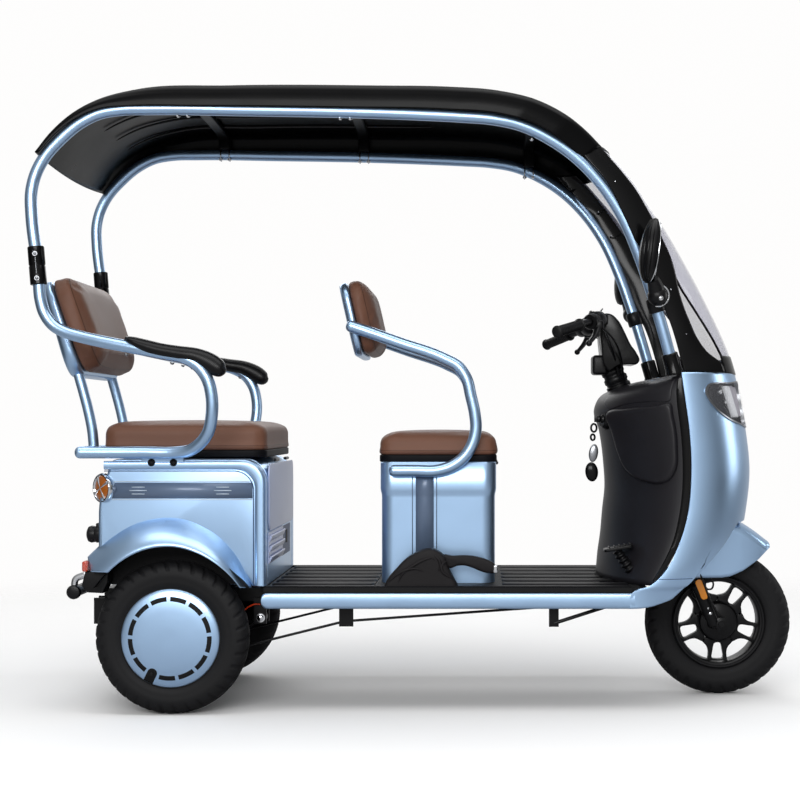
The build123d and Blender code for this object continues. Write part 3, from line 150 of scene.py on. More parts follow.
# a sphere of the edge radius, pushed apart into the eight corners of a box
def boxPart(low, high, radius, steps=4):
    low, high = np.array(low, float), np.array(high, float)
    centre, half = (low + high) / 2, (high - low) / 2 - radius
    corner = quarter(steps + 1)
    turn = np.concatenate([corner + q * np.pi / 2 for q in range(4)])
    turnX = np.repeat([1, -1, -1, 1], steps + 1)
    turnY = np.repeat([1, 1, -1, -1], steps + 1)
    rise = np.concatenate([corner - np.pi / 2, corner])[:, None]
    riseZ = np.repeat([-1, 1], steps + 1)[:, None]
    x = half[0] * turnX + radius * np.cos(rise) * np.cos(turn)
    y = half[1] * turnY + radius * np.cos(rise) * np.sin(turn)
    z = half[2] * riseZ + radius * np.sin(rise)
    return sheetPart(np.stack(np.broadcast_arrays(x, y, z), -1) + centre, wrap=True, caps=True)


# an egg: sin u cos v, sin u sin v and cos u by its half sizes; lean tips it, past the limit x is flattened
def eggPart(centre, half, rows=20, cols=28, lean=0.0, limit=1e9):
    u, v = np.linspace(0, np.pi, rows)[:, None], circle(cols)[None]
    x, y, z = np.broadcast_arrays(half[0] * np.sin(u) * np.cos(v), half[1] * np.sin(u) * np.sin(v),
                                  half[2] * np.cos(u))
    x = np.where(x > limit, limit + (x - limit) * 0.2, x) + lean * z
    return sheetPart(np.stack([x, y, z], -1) + np.array(centre, float), wrap=True, caps=True)


# the two directions of a plate seen from the side and of one seen from the front
sideways = ((1, 0, 0), (0, 0, 1))
frontal = ((0, 1, 0), (0, 0, 1))


# a flat outline with thickness and rounded edges, on the plane of across and up
def platePart(outline, depth, edge, origin, across, up, steps=4):
    flat = np.array(outline, float)
    around = unit(np.roll(flat, -1, 0) - np.roll(flat, 1, 0))
    inward = np.stack([-around[:, 1], around[:, 0]], -1)
    area = np.sum(flat[:, 0] * np.roll(flat[:, 1], -1) - np.roll(flat[:, 0], -1) * flat[:, 1])
    inward *= np.sign(area)
    across, up = unit(np.array(across, float)), unit(np.array(up, float))
    curve = quarter(steps + 1)
    inset = np.concatenate([edge * (1 - np.sin(curve)), edge * (1 - np.sin(curve[::-1]))])
    height = np.concatenate([edge * (1 - np.cos(curve)), depth - edge * (1 - np.cos(curve[::-1]))])
    ring = flat[None] + inset[:, None, None] * inward[None]
    grid = (np.array(origin, float) + ring[..., :1] * across + ring[..., 1:] * up
            + height[:, None, None] * np.cross(across, up))
    return sheetPart(grid, wrap=True, caps=True)


# a rectangle about its centre with round corners
def roundedOutline(width, height, corner, steps=8):
    parts = []
    for q, (sx, sy) in enumerate([(1, 1), (-1, 1), (-1, -1), (1, -1)]):
        turn = quarter(steps + 1) + q * np.pi / 2
        centre = np.array([sx * (width / 2 - corner), sy * (height / 2 - corner)])
        parts.append(centre + corner * np.stack([np.cos(turn), np.sin(turn)], -1))
    return np.concatenate(parts)


# the parts, and the same parts on the vehicle's other side
def bothSides(*parts):
    return [*parts, *[(points * np.array([1, -1, 1]), [f[::-1] for f in faces]) for points, faces in parts]]


# joins parts into one mesh in metres with its faces turned outwards
def meshOf(name, parts):
    points, faces, start = [], [], 0
    for p, f in parts:
        points.append(p)
        faces += [[i + start for i in face] for face in f]
        start += len(p)
    mesh = bpy.data.meshes.new(name)
    mesh.from_pydata((np.concatenate(points) * mm).tolist(), [], faces)
    work = bmesh.new()
    work.from_mesh(mesh)
    bmesh.ops.remove_doubles(work, verts=work.verts, dist=0.00001)
    bmesh.ops.recalc_face_normals(work, faces=work.faces)
    work.to_mesh(mesh)
    work.free()
    return mesh


def addObject(name, data):
    made = bpy.data.objects.new(name, data)
    bpy.context.scene.collection.objects.link(made)
    return made


# edges sharper than the angle, in degrees, stay crisp
def shade(mesh, angle):
    mesh.polygons.foreach_set("use_smooth", np.ones(len(mesh.polygons), bool))
    mesh.set_sharp_from_angle(angle=np.radians(angle))


# gives a finished piece its shading and its finish and lets it ride on its body
def settle(made, material, body, replaces, angle):
    shade(made.data, angle)
    made.data.materials.clear()
    made.data.materials.append(material)
    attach(made, body)
    if replaces:
        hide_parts(*replaces)
    return made


# one object from its parts, with a wall thickness where the parts are open sheets; most ride on the chassis
def build(name, parts, material, replaces=(), body="chassis", angle=32, thick=0.0, offset=-1):
    made = addObject(name, meshOf(name, parts))
    if thick:
        shell = made.modifiers.new("shell", "SOLIDIFY")
        shell.thickness, shell.offset, shell.use_even_offset = thick * mm, offset, True
    return settle(made, material, body, replaces, angle)


def coordsOf(mesh):
    flat = np.empty(len(mesh.vertices) * 3, np.float32)
    mesh.vertices.foreach_get("co", flat)
    return flat.reshape(-1, 3)


# the object with its modifiers worked out
def workedOut(made):
    return made.evaluated_get(bpy.context.evaluated_depsgraph_get())


def applyModifiers(made):
    made.data = bpy.data.meshes.new_from_object(workedOut(made))
    made.modifiers.clear()


stuffing = {"voxel": 7.5, "quickVoxel": 12, "pressure": 4.0, "frames": 20, "smoothing": 6}


# A padded piece: the shape is meshed evenly, blown up a little as cloth, and held where it rests.
# held(points) says which points stay; cap is the furthest any point may move, in millimetres.
def stuffed(name, parts, material, body, replaces, held, cap):
    made = addObject(name, meshOf(name, parts))
    scene = bpy.context.scene
    even = made.modifiers.new("even", "REMESH")
    even.mode = "VOXEL"
    even.voxel_size = stuffing["voxel"] * mm
    bpy.context.view_layer.update()
    applyModifiers(made)
    rest = coordsOf(made.data)
    stays = made.vertex_groups.new(name="held")
    stays.add(np.flatnonzero(held(rest / mm)).tolist(), 1.0, "REPLACE")
    cloth = made.modifiers.new("stuffing", "CLOTH")
    cloth.settings.use_pressure = True
    cloth.settings.uniform_pressure_force = stuffing["pressure"]
    cloth.settings.effector_weights.gravity = 0
    cloth.settings.vertex_group_mass = "held"
    cloth.settings.quality = 4
    for now in range(1, stuffing["frames"] + 1):
        scene.frame_set(now)
    move = coordsOf(workedOut(made).data) - rest
    far = np.linalg.norm(move, axis=1)[:, None]
    rest = rest + move * np.minimum(1, cap * mm / np.maximum(far, 1e-9))
    made.modifiers.clear()
    made.vertex_groups.clear()
    made.data.vertices.foreach_set("co", rest.ravel())
    scene.frame_set(1)
    ease = made.modifiers.new("ease", "SMOOTH")
    ease.factor, ease.iterations = 0.5, stuffing["smoothing"]
    fine = made.modifiers.new("fine", "SUBSURF")
    fine.levels = fine.render_levels = 1
    applyModifiers(made)
    settle(made, material, body, replaces, 80)
    return made


# Finishes.

def srgb(r, g, b):
    c = np.array([r, g, b]) / 255
    return (*np.where(c <= 0.04045, c / 12.92, ((c + 0.055) / 1.055) ** 2.4), 1.0)


# sets the inputs of a shader node: a socket is joined, anything else is its value
def feed(tree, node, inputs):
    for key, value in inputs.items():
        if isinstance(value, bpy.types.NodeSocket):
            tree.links.new(value, node.inputs[key])
        else:
            node.inputs[key].default_value = value


def addNode(tree, kind, inputs=None, **settings):
    node = tree.nodes.new("ShaderNode" + kind)
    for key, value in settings.items():
        setattr(node, key, value)
    feed(tree, node, inputs or {})
    return node


def addMath(tree, kind, *values):
    return addNode(tree, "Math", dict(enumerate(values)), operation=kind).outputs[0]


# a finish whose colour and roughness wander a little over the surface, with a fine grain
def finishOf(name, colour, rough, metal=0.0, coat=0.0, coatRough=0.05, spread=0.04, grain=0.0,
             grainSize=400.0, sheen=0.0, specular=0.5, alpha=1.0):
    material = bpy.data.materials.new(name)
    material.use_nodes = True
    tree = material.node_tree
    shader = tree.nodes["Principled BSDF"]
    where = addNode(tree, "TexCoord").outputs["Object"]
    patches = addNode(tree, "TexNoise", {"Scale": 9, "Detail": 3, "Vector": where}).outputs["Fac"]
    base = np.array(srgb(*colour))[:3]
    tone = addNode(tree, "Mix", {"A": (*(base * (1 - spread)), 1),
                                 "B": (*np.minimum(base * (1 + spread), 1), 1),
                                 "Factor": patches}, data_type="RGBA")
    level = addNode(tree, "MapRange", {"To Min": max(rough - 0.05, 0.02), "To Max": min(rough + 0.05, 1),
                                       "Value": patches})
    feed(tree, shader, {"Base Color": tone.outputs["Result"], "Roughness": level.outputs["Result"],
                        "Metallic": metal, "Coat Weight": coat, "Coat Roughness": coatRough,
                        "Sheen Weight": sheen, "Specular IOR Level": specular, "Alpha": alpha})
    if grain:
        fine = addNode(tree, "TexNoise", {"Scale": grainSize, "Detail": 2, "Vector": where})
        bump = addNode(tree, "Bump", {"Strength": grain, "Distance": 0.0006, "Height": fine.outputs["Fac"]})
        feed(tree, shader, {"Normal": bump.outputs["Normal"]})
    return material


bluePaint = finishOf("bluePaint", (177, 209, 243), 0.33, metal=0.94, coat=0.2, coatRough=0.1, spread=0.02)
# dark blue: the colour of the fairing's seam lines, and painted shade in the rear box's groove lines and
# recess
darkBlue = finishOf("darkBlue", (52, 78, 118), 0.45, metal=0.3)
roofBlack = finishOf("roofBlack", (5, 5, 6), 0.3, spread=0.1, specular=0.1)
glossBlack = finishOf("glossBlack", (7, 7, 8), 0.16, spread=0.1, specular=0.22)
satinBlack = finishOf("satinBlack", (12, 12, 14), 0.36, spread=0.1, grain=0.25, specular=0.25)
matteBlack = finishOf("matteBlack", (13, 13, 15), 0.55, spread=0.1, grain=0.3, specular=0.2)
deckBlack = finishOf("deckBlack", (14, 14, 17), 0.5, spread=0.1, specular=0.08)
bootBlack = finishOf("bootBlack", (17, 14, 16), 0.6, spread=0.08, grain=0.4, specular=0.25)
shieldBlack = finishOf("shieldBlack", (27, 26, 30), 0.4, spread=0.08, grain=0.2, specular=0.3)
blackMetal = finishOf("blackMetal", (13, 13, 15), 0.3, metal=0.2, spread=0.1, specular=0.3)
rubber = finishOf("rubber", (17, 17, 19), 0.62, spread=0.1, grain=0.3, specular=0.25)
gripRubber = finishOf("gripRubber", (14, 14, 15), 0.5, spread=0.08, grain=0.4, specular=0.25)
brownLeather = finishOf("brownLeather", (108, 73, 57), 0.46, spread=0.06, grain=0.7, grainSize=900,
                        sheen=0.02, specular=0.25)
chrome = finishOf("chrome", (225, 227, 230), 0.12, metal=1.0, spread=0.02)
steel = finishOf("steel", (150, 152, 156), 0.3, metal=1.0, spread=0.05)
greyPanel = finishOf("greyPanel", (180, 190, 220), 0.4, metal=0.2, coat=0.3, spread=0.02)
stripeBlue = finishOf("stripeBlue", (100, 118, 144), 0.4, metal=0.2, coat=0.3, spread=0.03)
stripeLight = finishOf("stripeLight", (205, 220, 235), 0.4, metal=0.1, coat=0.3, spread=0.02)
orange = finishOf("orange", (246, 150, 20), 0.3, coat=0.5, spread=0.05)
amber = finishOf("amber", (168, 92, 26), 0.25, coat=0.5, spread=0.05)
lampWhite = finishOf("lampWhite", (240, 242, 246), 0.3, spread=0.01)
lampPale = finishOf("lampPale", (178, 173, 186), 0.35, metal=0.2, spread=0.02)
# thin and clear: mostly see-through, a little tint, and a clean reflection
clearScreen = finishOf("clearScreen", (196, 196, 216), 0.08, spread=0.01, alpha=0.30)
lampGlass = finishOf("lampGlass", (200, 202, 210), 0.05, spread=0.01, alpha=0.06)
lampRed = finishOf("lampRed", (200, 60, 25), 0.1, spread=0.01, alpha=0.75)
print("materials made")

# the CAD nodes that are seen as they are
for names, finish in ((("battery_pack", "floor_deck"), matteBlack),
                      (("brake_rods", "chassis_frame", "drive_motor", "leaf_springs", "rear_axle",
                        "rear_rim_left", "rear_rim_right"), blackMetal)):
    for name in names:
        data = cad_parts[name].data
        data.materials.clear()
        data.materials.append(finish)
        shade(data, 30)
print("CAD nodes finished")


# Front fairing: level sections, each a curve from the side round to the nose.

# the edge, half-width and middle of level sections at a height
def levelReader(levels, count):
    line = smoothLine(levels, count)
    line[:, 0] = np.maximum.accumulate(line[:, 0])
    return lambda z: [np.interp(z, line[:, 0], line[:, i]) for i in (1, 2, 3)]


# A surface from level sections. v runs from -1, the near edge, over 0, the middle, to 1. With t = 1 - |v|,
# each side is a cubic curve whose inner points lie at the share pull of the length and swell of the width.
def levelSurface(levels, count, pull, swell):
    read = levelReader(levels, count)

    def surface(z, v):
        edge, half, nose = read(np.asarray(z, float))
        t = 1 - np.abs(v)
        x = (edge * (1 - t)**3 + 3 * (edge + (nose - edge) * pull) * (1 - t)**2 * t
             + 3 * nose * (1 - t) * t**2 + nose * t**3)
        y = half * (1 - t)**3 + 3 * half * (1 - t)**2 * t + 3 * half * swell * (1 - t) * t**2
        return np.stack(np.broadcast_arrays(x, np.sign(v) * y, z), -1)
    return surface


# a point of a surface moved out along its own normal
def offsetPoint(surface, z, v, out):
    step = 1e-3
    z, v = np.broadcast_arrays(np.asarray(z, float), v)
    here = surface(z, v)
    normal = unit(np.cross(surface(z, v + step) - surface(z, v - step), surface(z + 1, v) - here))
    return here + normal * np.broadcast_to(np.asarray(out, float), z.shape)[..., None]


# an outline on a surface drawn in to a share of its size and moved out
def shrunkRing(surface, v, z, share, out):
    middleV, middleZ = v.mean(), z.mean()
    return offsetPoint(surface, middleZ + (z - middleZ) * share, middleV + (v - middleV) * share, out)


# points in (v, height) joined to a closed outline; v is stretched meanwhile, to be like a length
def outlineOn(points, count):
    stretch = np.array([300, 1])
    return smoothLine(np.array(points) * stretch, count, closed=True) / stretch


fairing = {
    # height, rear edge, half-width, nose
    "levels": [(262, 552, 318, 800), (318, 560, 318, 836), (333, 605, 316, 846), (368, 645, 312, 864),
               (430, 680, 306, 886), (521, 709, 301, 904), (632, 719, 298, 915), (747, 714, 297, 904),
               (830, 703, 296, 889), (900, 693, 295, 874)],
    "pull": 0.55, "swell": 0.62,
    # lower edge seen from the side
    "lower": [(540, 274), (581, 275), (610, 279), (634, 286), (660, 294), (684, 308), (727, 350), (762, 386),
              (808, 432), (857, 494), (900, 498), (960, 499)],
    "top": 900, "wall": 4, "seam": 352,
    # edge of the lens: points seen from the side, points as (v, height) in front, points below from the side
    "lensSide": [(758, 850), (765, 865), (788, 872), (825, 873)],
    "lensFront": [(0.13, 871), (0.075, 862), (0.07, 830), (0.075, 790), (0.10, 766), (0.17, 757)],
    "lensUnder": [(864, 763), (824, 778), (791, 801), (768, 827)],
}
fairingAt = levelSurface(fairing["levels"], 400, fairing["pull"], fairing["swell"])


# height of the lower edge, where the surface meets the edge line seen from the side
def fairingLow(v):
    edgeX, edgeZ = np.array(fairing["lower"]).T
    low, high = np.full(np.shape(v), 250.0), np.full(np.shape(v), 620.0)
    for _ in range(30):
        middle = (low + high) / 2
        under = middle < np.interp(fairingAt(middle, v)[..., 0], edgeX, edgeZ)
        low, high = np.where(under, middle, low), np.where(under, high, middle)
    return high


# how far round the fairing its surface reaches x at a height
def fairingV(x, z):
    t = np.linspace(0, 1, 400)
    return 1 - np.interp(x, fairingAt(z, t - 1)[:, 0], t)


# which points lie within a closed outline, by counting the edges crossed to their right
def inside(outline, u, w):
    x0, y0 = outline[:, 0], outline[:, 1]
    x1, y1 = np.roll(x0, -1), np.roll(y0, -1)
    u, w = u[..., None], w[..., None]
    crosses = (y0 > w) != (y1 > w)
    at = x0 + (w - y0) * (x1 - x0) / np.where(y1 == y0, 1e-9, y1 - y0)
    return (np.sum(crosses & (u < at), -1) % 2) == 1


vLine = np.concatenate([[-1, -0.999], np.linspace(-0.995, 0.995, 153), [0.999, 1]])
low = fairingLow(vLine)
zGrid = low + (fairing["top"] - low) * np.linspace(0, 1, 122)[:, None]
vGrid = np.broadcast_to(vLine, zGrid.shape)
lens = outlineOn([(fairingV(x, z), z) for x, z in fairing["lensSide"]] + fairing["lensFront"]
                 + [(fairingV(x, z), z) for x, z in fairing["lensUnder"]], 96)
points, faces = sheetPart(fairingAt(zGrid, vGrid))
cut = inside(lens, np.abs(vGrid.reshape(-1)[np.array(faces)].mean(1)), points[np.array(faces)].mean(1)[:, 2])
build("fairing", [(points, [face for face, gone in zip(faces, cut) if not gone])], bluePaint,
      ["front_fairing"], thick=fairing["wall"])
# the rear edge turns in as a narrow flange, and a fine seam crosses the lower side
zEdge = np.linspace(322, 899, 160)
flanges, seams = [], []
for side in (-1, 1):
    edge = fairingAt(zEdge, np.full(160, float(side)))
    turned = [edge + np.array([dx, -side * dy, 0]) for dx, dy in ((0, 0.5), (1.5, 5), (4, 10), (9, 20))]
    flanges.append(sheetPart(np.array(turned)))
    seams.append(tubePart(offsetPoint(fairingAt, fairing["seam"], side * np.linspace(0.999, 0.74, 50), 0.1),
                          0.9, 8))
build("fairingFlanges", flanges, bluePaint, thick=1.5, angle=60)
build("fairingSeams", seams, darkBlue)
print("fairing made")

# Headlights: the lens outline carried into the body as a dark housing, with a bright rim and a clear cover.
# Inside are a dark corner with a small lamp, an upright white bar, and a pale reflector towards the middle.
lamp = {
    # share of the lens's size and distance out
    "rim": [(1.035, -8), (1.035, 3), (0.975, 3), (0.975, -8), (1.035, -8)],
    "cover": [(s, 2 + 5 * (1 - s**2)) for s in np.linspace(1.0, 0.02, 14)],
    "housing": [(1.0, -2), (0.98, -14), (0.9, -26), (0.6, -34), (0.3, -37), (0.02, -38)],
    "bar": [(-0.05, -14), (-0.04, -3), (0.03, -3), (0.04, -14)],
    # v, height and radius
    "bulbs": [(0.60, 850, 8), (0.55, 822, 5)],
}
rims, housings, covers, bulbs, bars, pales = [], [], [], [], [], []
for side in (-1, 1):
    for made, rings in ((rims, lamp["rim"]), (housings, lamp["housing"]), (covers, lamp["cover"])):
        made.append(sheetPart(np.array([shrunkRing(fairingAt, side * lens[:, 0], lens[:, 1], share, out)
                                        for share, out in rings]), wrap=True))
    zBar = np.linspace(782, 866, 24)
    vBar = side * np.interp(zBar, [782, 866], [0.42, 0.50])
    bars.append(sheetPart(np.array([offsetPoint(fairingAt, zBar, vBar + side * w, out)
                                    for w, out in lamp["bar"]])))
    zPale, share = np.linspace(786, 868, 24)[:, None], np.linspace(0, 1, 24)[None]
    vPale = side * (0.05 + (np.interp(zPale, [786, 866], [0.36, 0.43]) - 0.05) * share)
    pales.append(sheetPart(offsetPoint(fairingAt, zPale, vPale, -9 + 3 * np.sin(share * 9) + 0 * zPale)))
    for v, z, r in lamp["bulbs"]:
        at = offsetPoint(fairingAt, [z], np.array([side * v]), -10)[0]
        bulbs.append(lathePart([(0.01, 6), (r * 0.7, 4), (r, 0), (r * 1.2, -8)], at,
                               (0.6, side * 0.8, 0), 32))
build("lampRims", rims, steel)
build("lampHousings", housings, roofBlack, thick=1.0)
build("lampBlades", bulbs, chrome, thick=0.8)
build("lampBars", bars, lampWhite, thick=0.8)
build("lampReflectors", pales, lampPale, thick=0.8)
build("lampCovers", covers, lampGlass, ["headlights"], thick=1.2)
print("headlights made")


# Leg shield: the same kind of level sections, turned to the rear, closed over by a sloping top.

shield = {
    # height, front edge, half-width, rearmost point
    "levels": [(333.5, 622, 296, 489), (400, 664, 297, 494), (450, 688, 296, 501), (518, 706, 294, 507),
               (590, 715, 292, 514), (646, 717, 291, 511), (746, 712, 290, 498), (803, 705, 289, 484),
               (838, 700, 288, 500), (856, 697, 287, 530), (872, 695, 286, 575), (884, 694, 285, 628),
               (892, 693, 284, 672)],
    "pull": 0.35, "swell": 0.5, "low": 333.5, "high": 892,
    # outlines in (v, height) of the near side, from the upper rear corner
    "pocket": [(-0.28, 793), (-0.5, 806), (-0.7, 812), (-0.855, 817), (-0.868, 780), (-0.872, 700),
               (-0.85, 640), (-0.78, 610), (-0.70, 601), (-0.60, 603), (-0.47, 618), (-0.385, 642),
               (-0.33, 680), (-0.29, 740)],
    "lid": [(-0.24, 846), (-0.5, 862), (-0.855, 877), (-0.862, 850), (-0.857, 828), (-0.68, 823),
            (-0.45, 815), (-0.27, 804), (-0.2, 822)],
    "pocketBulge": 16, "lidBulge": 5,
    # v and distance out of the border's section
    "border": [(0.905, -1), (0.912, 4), (0.93, 6), (0.97, 6), (0.999, 5), (0.999, -1)],
}
shieldAt = levelSurface(shield["levels"], 500, shield["pull"], shield["swell"])
# rows crowd together towards the top, where the surface turns over
zRow = shield["low"] + (shield["high"] - shield["low"]) * np.sin(quarter(108))**0.85
build("legShield", [sheetPart(shieldAt(zRow[:, None], np.linspace(-1, 1, 113)[None]))], shieldBlack,
      ["leg_shield"], thick=3, offset=1, angle=40)


# a patch of the leg shield raised off it, with a rounded rim; side 1 puts it on the far side
def bulgePart(outline, out, side, corner=0.10):
    v, z = outlineOn(outline, 96).T
    edge = np.linspace(0.2, np.pi / 2, 7)
    rings = [(1.0, -2.0), *zip(1 - corner * (1 - np.cos(edge)), out * np.sin(edge)),
             *[(s, out) for s in np.linspace(1 - corner, 0.02, 14)[1:]]]
    return sheetPart(np.array([shrunkRing(shieldAt, -side * v, z, share, -up) for share, up in rings]),
                     wrap=True)


for name, outline, out, corner in (("shieldPockets", "pocket", "pocketBulge", 0.10),
                                   ("shieldLids", "lid", "lidBulge", 0.06)):
    build(name, [bulgePart(shield[outline], shield[out], side, corner) for side in (-1, 1)], shieldBlack,
          angle=60)
# a raised black border runs up each side of the shield just behind the fairing's edge
zBorder = np.linspace(345, 884, 90)
borders = [sheetPart(np.array([offsetPoint(shieldAt, zBorder, side * v, -out)
                               for v, out in shield["border"]])) for side in (-1, 1)]
build("shieldBorders", borders, glossBlack)
print("leg shield made")


# Roof: a top line and a lower side line, joined by sections that roll over at the shoulder.

roof = {
    "top": [(-1009, 1475), (-968, 1528), (-908, 1582), (-838, 1620), (-735, 1648), (-500, 1658), (-100, 1658),
            (80, 1655), (209, 1645), (314, 1620), (395, 1580), (440, 1546), (480, 1506)],
    "side": [(-995, 1469), (-948, 1520), (-894, 1560), (-836, 1584), (-760, 1591), (-600, 1591), (-209, 1587),
             (80, 1581), (209, 1571), (290, 1550), (360, 1514), (430, 1458)],
    # share of the half-width, and how far the section has gone from the top line to the side line
    "section": [(0, 0), (0.4, 0.01), (0.7, 0.03), (0.86, 0.06), (0.93, 0.11), (0.97, 0.22), (0.99, 0.42),
                (1.0, 0.68), (1.0, 1.0)],
    # where the half-width narrows towards the front
    "narrowAt": [150, 300, 400, 480], "narrow": [373, 368, 352, 328],
    "rearDip": 16, "frontReach": (34, -32), "wall": 5, "ribs": (-215, -75, 70, 220),
}
count = 160
top, side = smoothLine(roof["top"], count), smoothLine(roof["side"], count)
half = smoothLine(roof["section"], 34)
across = np.concatenate([-half[::-1, 0], half[1:, 0]])
down = np.concatenate([half[::-1, 1], half[1:, 1]])
along = np.linspace(0, 1, count)[:, None]
dip = roof["rearDip"] * np.exp(-(along / 0.05)**2) * (1 - across**2)
nose = np.exp(-((1 - along) / 0.06)**2) * (1 - across**2)
x = top[:, :1] + (side[:, :1] - top[:, :1]) * down + roof["frontReach"][0] * nose
z = top[:, 1:] + (side[:, 1:] - top[:, 1:]) * down - dip + roof["frontReach"][1] * nose
y = across * np.interp(top[:, :1], roof["narrowAt"], roof["narrow"])
build("roof", [sheetPart(np.stack([x, y, z], -1))], roofBlack, ["roof_panel"],
      thick=roof["wall"], angle=50)
# long raised ribs stiffen the underside
ribLine = top[16:109] + np.array([5, -9])
ribRadius = 4 * np.sin(np.linspace(0, np.pi, len(ribLine)))**0.3 + 0.2
build("roofRibs", [tubePart(sideLine(ribLine, y), ribRadius, 10) for y in roof["ribs"]], satinBlack)
print("roof made")


# Windscreen: level sections through five points, trimmed at the sides by an edge line.

screen = {
    # height, side edge, half-width, centre
    "levels": [(902, 700, 286, 872), (950, 690, 286, 857), (1030, 690, 284, 822), (1087, 687, 277, 793),
               (1143, 672, 281, 763), (1214, 650, 286, 721), (1293, 618, 292, 671), (1348, 580, 299, 632),
               (1416, 533, 306, 588), (1470, 490, 312, 541), (1512, 450, 314, 496)],
    "low": 902, "high": 1496,
    # height and how far round the section the sheet reaches, 1 being the whole way
    "reach": [(902, 0.61), (950, 0.61), (990, 0.67), (1030, 0.75), (1087, 0.87), (1120, 0.93), (1160, 0.97),
              (1512, 0.98)],
}
screenRead = levelReader(screen["levels"], 300)


# with a = |v|, x falls from the centre by a to the power 2.6 and y grows by 1 - (1 - a) to the power 1.25
def screenAt(z, v):
    edge, half, centre = screenRead(np.asarray(z, float))
    a = np.abs(v)
    x = edge + (centre - edge) * (1 - a**2.6)
    y = half * np.sign(v) * (1 - (1 - a)**1.25)
    return np.stack(np.broadcast_arrays(x, y, z), -1)


zRow = np.linspace(screen["low"], screen["high"], 84)
reachNow = np.interp(zRow, *np.array(screen["reach"]).T)
sheet = screenAt(zRow[:, None], np.linspace(-1, 1, 89) * reachNow[:, None])
build("windscreenSheet", [sheetPart(sheet)], clearScreen, ["windscreen"], thick=3)
trims = [tubePart(screenAt(zRow, side * reachNow), 3.2, 10) for side in (-1, 1)]
trims.append(tubePart(screenAt(np.full(80, screen["high"] - 2.0), np.linspace(-0.97, 0.97, 80)), 4, 10))
build("windscreenTrims", trims, glossBlack)
# the black foot of the screen
foot = offsetPoint(screenAt, np.linspace(899, 948, 12)[:, None], np.linspace(-0.62, 0.62, 90)[None], 2)
build("windscreenFoot", [sheetPart(foot)], glossBlack, thick=3)

panels = {
    # height, rear edge and front edge of each side panel, and how far out it stands at both
    "rows": [(1520, 388, 448, 331, 312), (1490, 412, 480, 330, 311), (1453, 445, 513, 330, 310),
             (1419, 476, 542, 330, 308), (1379, 505, 573, 325, 303), (1337, 525, 598, 321, 300),
             (1295, 545, 622, 316, 296), (1253, 564, 643, 312, 291), (1207, 580, 664, 305, 288),
             (1165, 594, 677, 298, 285), (1130, 608, 684, 293, 282), (1087, 634, 697, 288, 277),
             (1062, 650, 706, 286, 275), (1039, 660, 716, 285, 272), (986, 678, 742, 284, 265),
             (954, 687, 768, 283, 258), (938, 691, 790, 283, 252), (926, 694, 806, 283, 248),
             (900, 700, 816, 283, 246)],
    # how far the panel swells out between its edges
    "swell": 5,
    # forward, height and distance out of each screw's head
    "screws": [(513, 1402, 325), (553, 1330, 315.58), (706, 1002, 279.95), (664, 1120, 291.01)],
}
height, rearX, frontX, rearY, frontY = smoothLine(panels["rows"], 96).T[:, :, None]
share = np.linspace(0, 1, 17)
grid = np.stack(np.broadcast_arrays(rearX + (frontX - rearX) * share,
                                    -(rearY + (frontY - rearY) * share
                                      + panels["swell"] * np.sin(share * np.pi)),
                                    height), -1)
build("sidePanels", bothSides(sheetPart(grid)), glossBlack, ["windscreen_panels"],
      thick=4)
screws = [rodPart((x, -270, z), (x, -out, z), 2.2, 16, 0.8) for x, z, out in panels["screws"]]
build("panelScrews", bothSides(*screws), steel)
print("windscreen made")


# Front mudguard: upright sections with straight sides and a round crown above a crease.

fender = {
    # distance forward, half-width, crown height
    "levels": [(748, 92, 498), (800, 92, 506), (850, 91, 503), (890, 88, 488), (930, 80, 463),
               (968, 66, 434)],
    "lower": [(740, 334), (788, 334), (830, 335), (853, 338), (890, 354), (935, 385), (968, 417)],
    "crease": 34, "wall": 3,
}
line = smoothLine(fender["levels"], 60)
low = np.interp(line[:, 0], *np.array(fender["lower"]).T)
share = np.linspace(0, 1, 16)
turn = np.linspace(0, np.pi, 40)[1:-1]
sections = []
for (x, halfWidth, crown), foot, bend in zip(line, low, np.maximum(line[:, 2] - fender["crease"], low + 1)):
    flank = np.stack([halfWidth - 3 * (1 - share), foot + (bend - foot) * share], -1)
    crownRow = np.stack([-(halfWidth - 2) * np.cos(turn),
                         bend + 2 + (crown - bend - 2) * np.sin(turn)**0.8], -1)
    row = np.concatenate([flank * np.array([-1, 1]), crownRow, flank[::-1]])
    sections.append(np.concatenate([np.full((len(row), 1), x), row], 1))
build("frontMudguard", [sheetPart(np.array(sections))], bluePaint, ["front_fender"],
      thick=fender["wall"], angle=50, body="steering")
print("front mudguard made")


# Side sills: a rounded section carried along the deck's edge, closed and round at the rear.

sill = {"rear": -421, "front": 566, "low": 274, "high": 317.5,
        # distance out and share of the height
        "section": [(300, 0.02), (312, 0.0), (316.5, 0.06), (318, 0.2), (318.4, 0.5), (318, 0.8),
                    (316.5, 0.94), (312, 1.0), (300, 1.0)]}
xSill = np.concatenate([sill["rear"] + 16 * (1 - np.cos(quarter(9))),
                        np.linspace(sill["rear"] + 22, sill["front"], 60)])[:, None]
tall = np.concatenate([0.35 + 0.65 * np.sin(quarter(9)), np.ones(60)])[:, None] * (sill["high"] - sill["low"])
out, share = np.array(sill["section"]).T
z = (sill["low"] + sill["high"]) / 2 + (share - 0.5) * tall
sills = sheetPart(np.stack(np.broadcast_arrays(xSill, -out, z), -1), wrap=True, caps=True)
build("sills", bothSides(sills), bluePaint, ["side_sills"], angle=50)
print("sills made")


# Seats. The leather of each pad has a sewn line, where the piece's own depth value crosses a given depth.

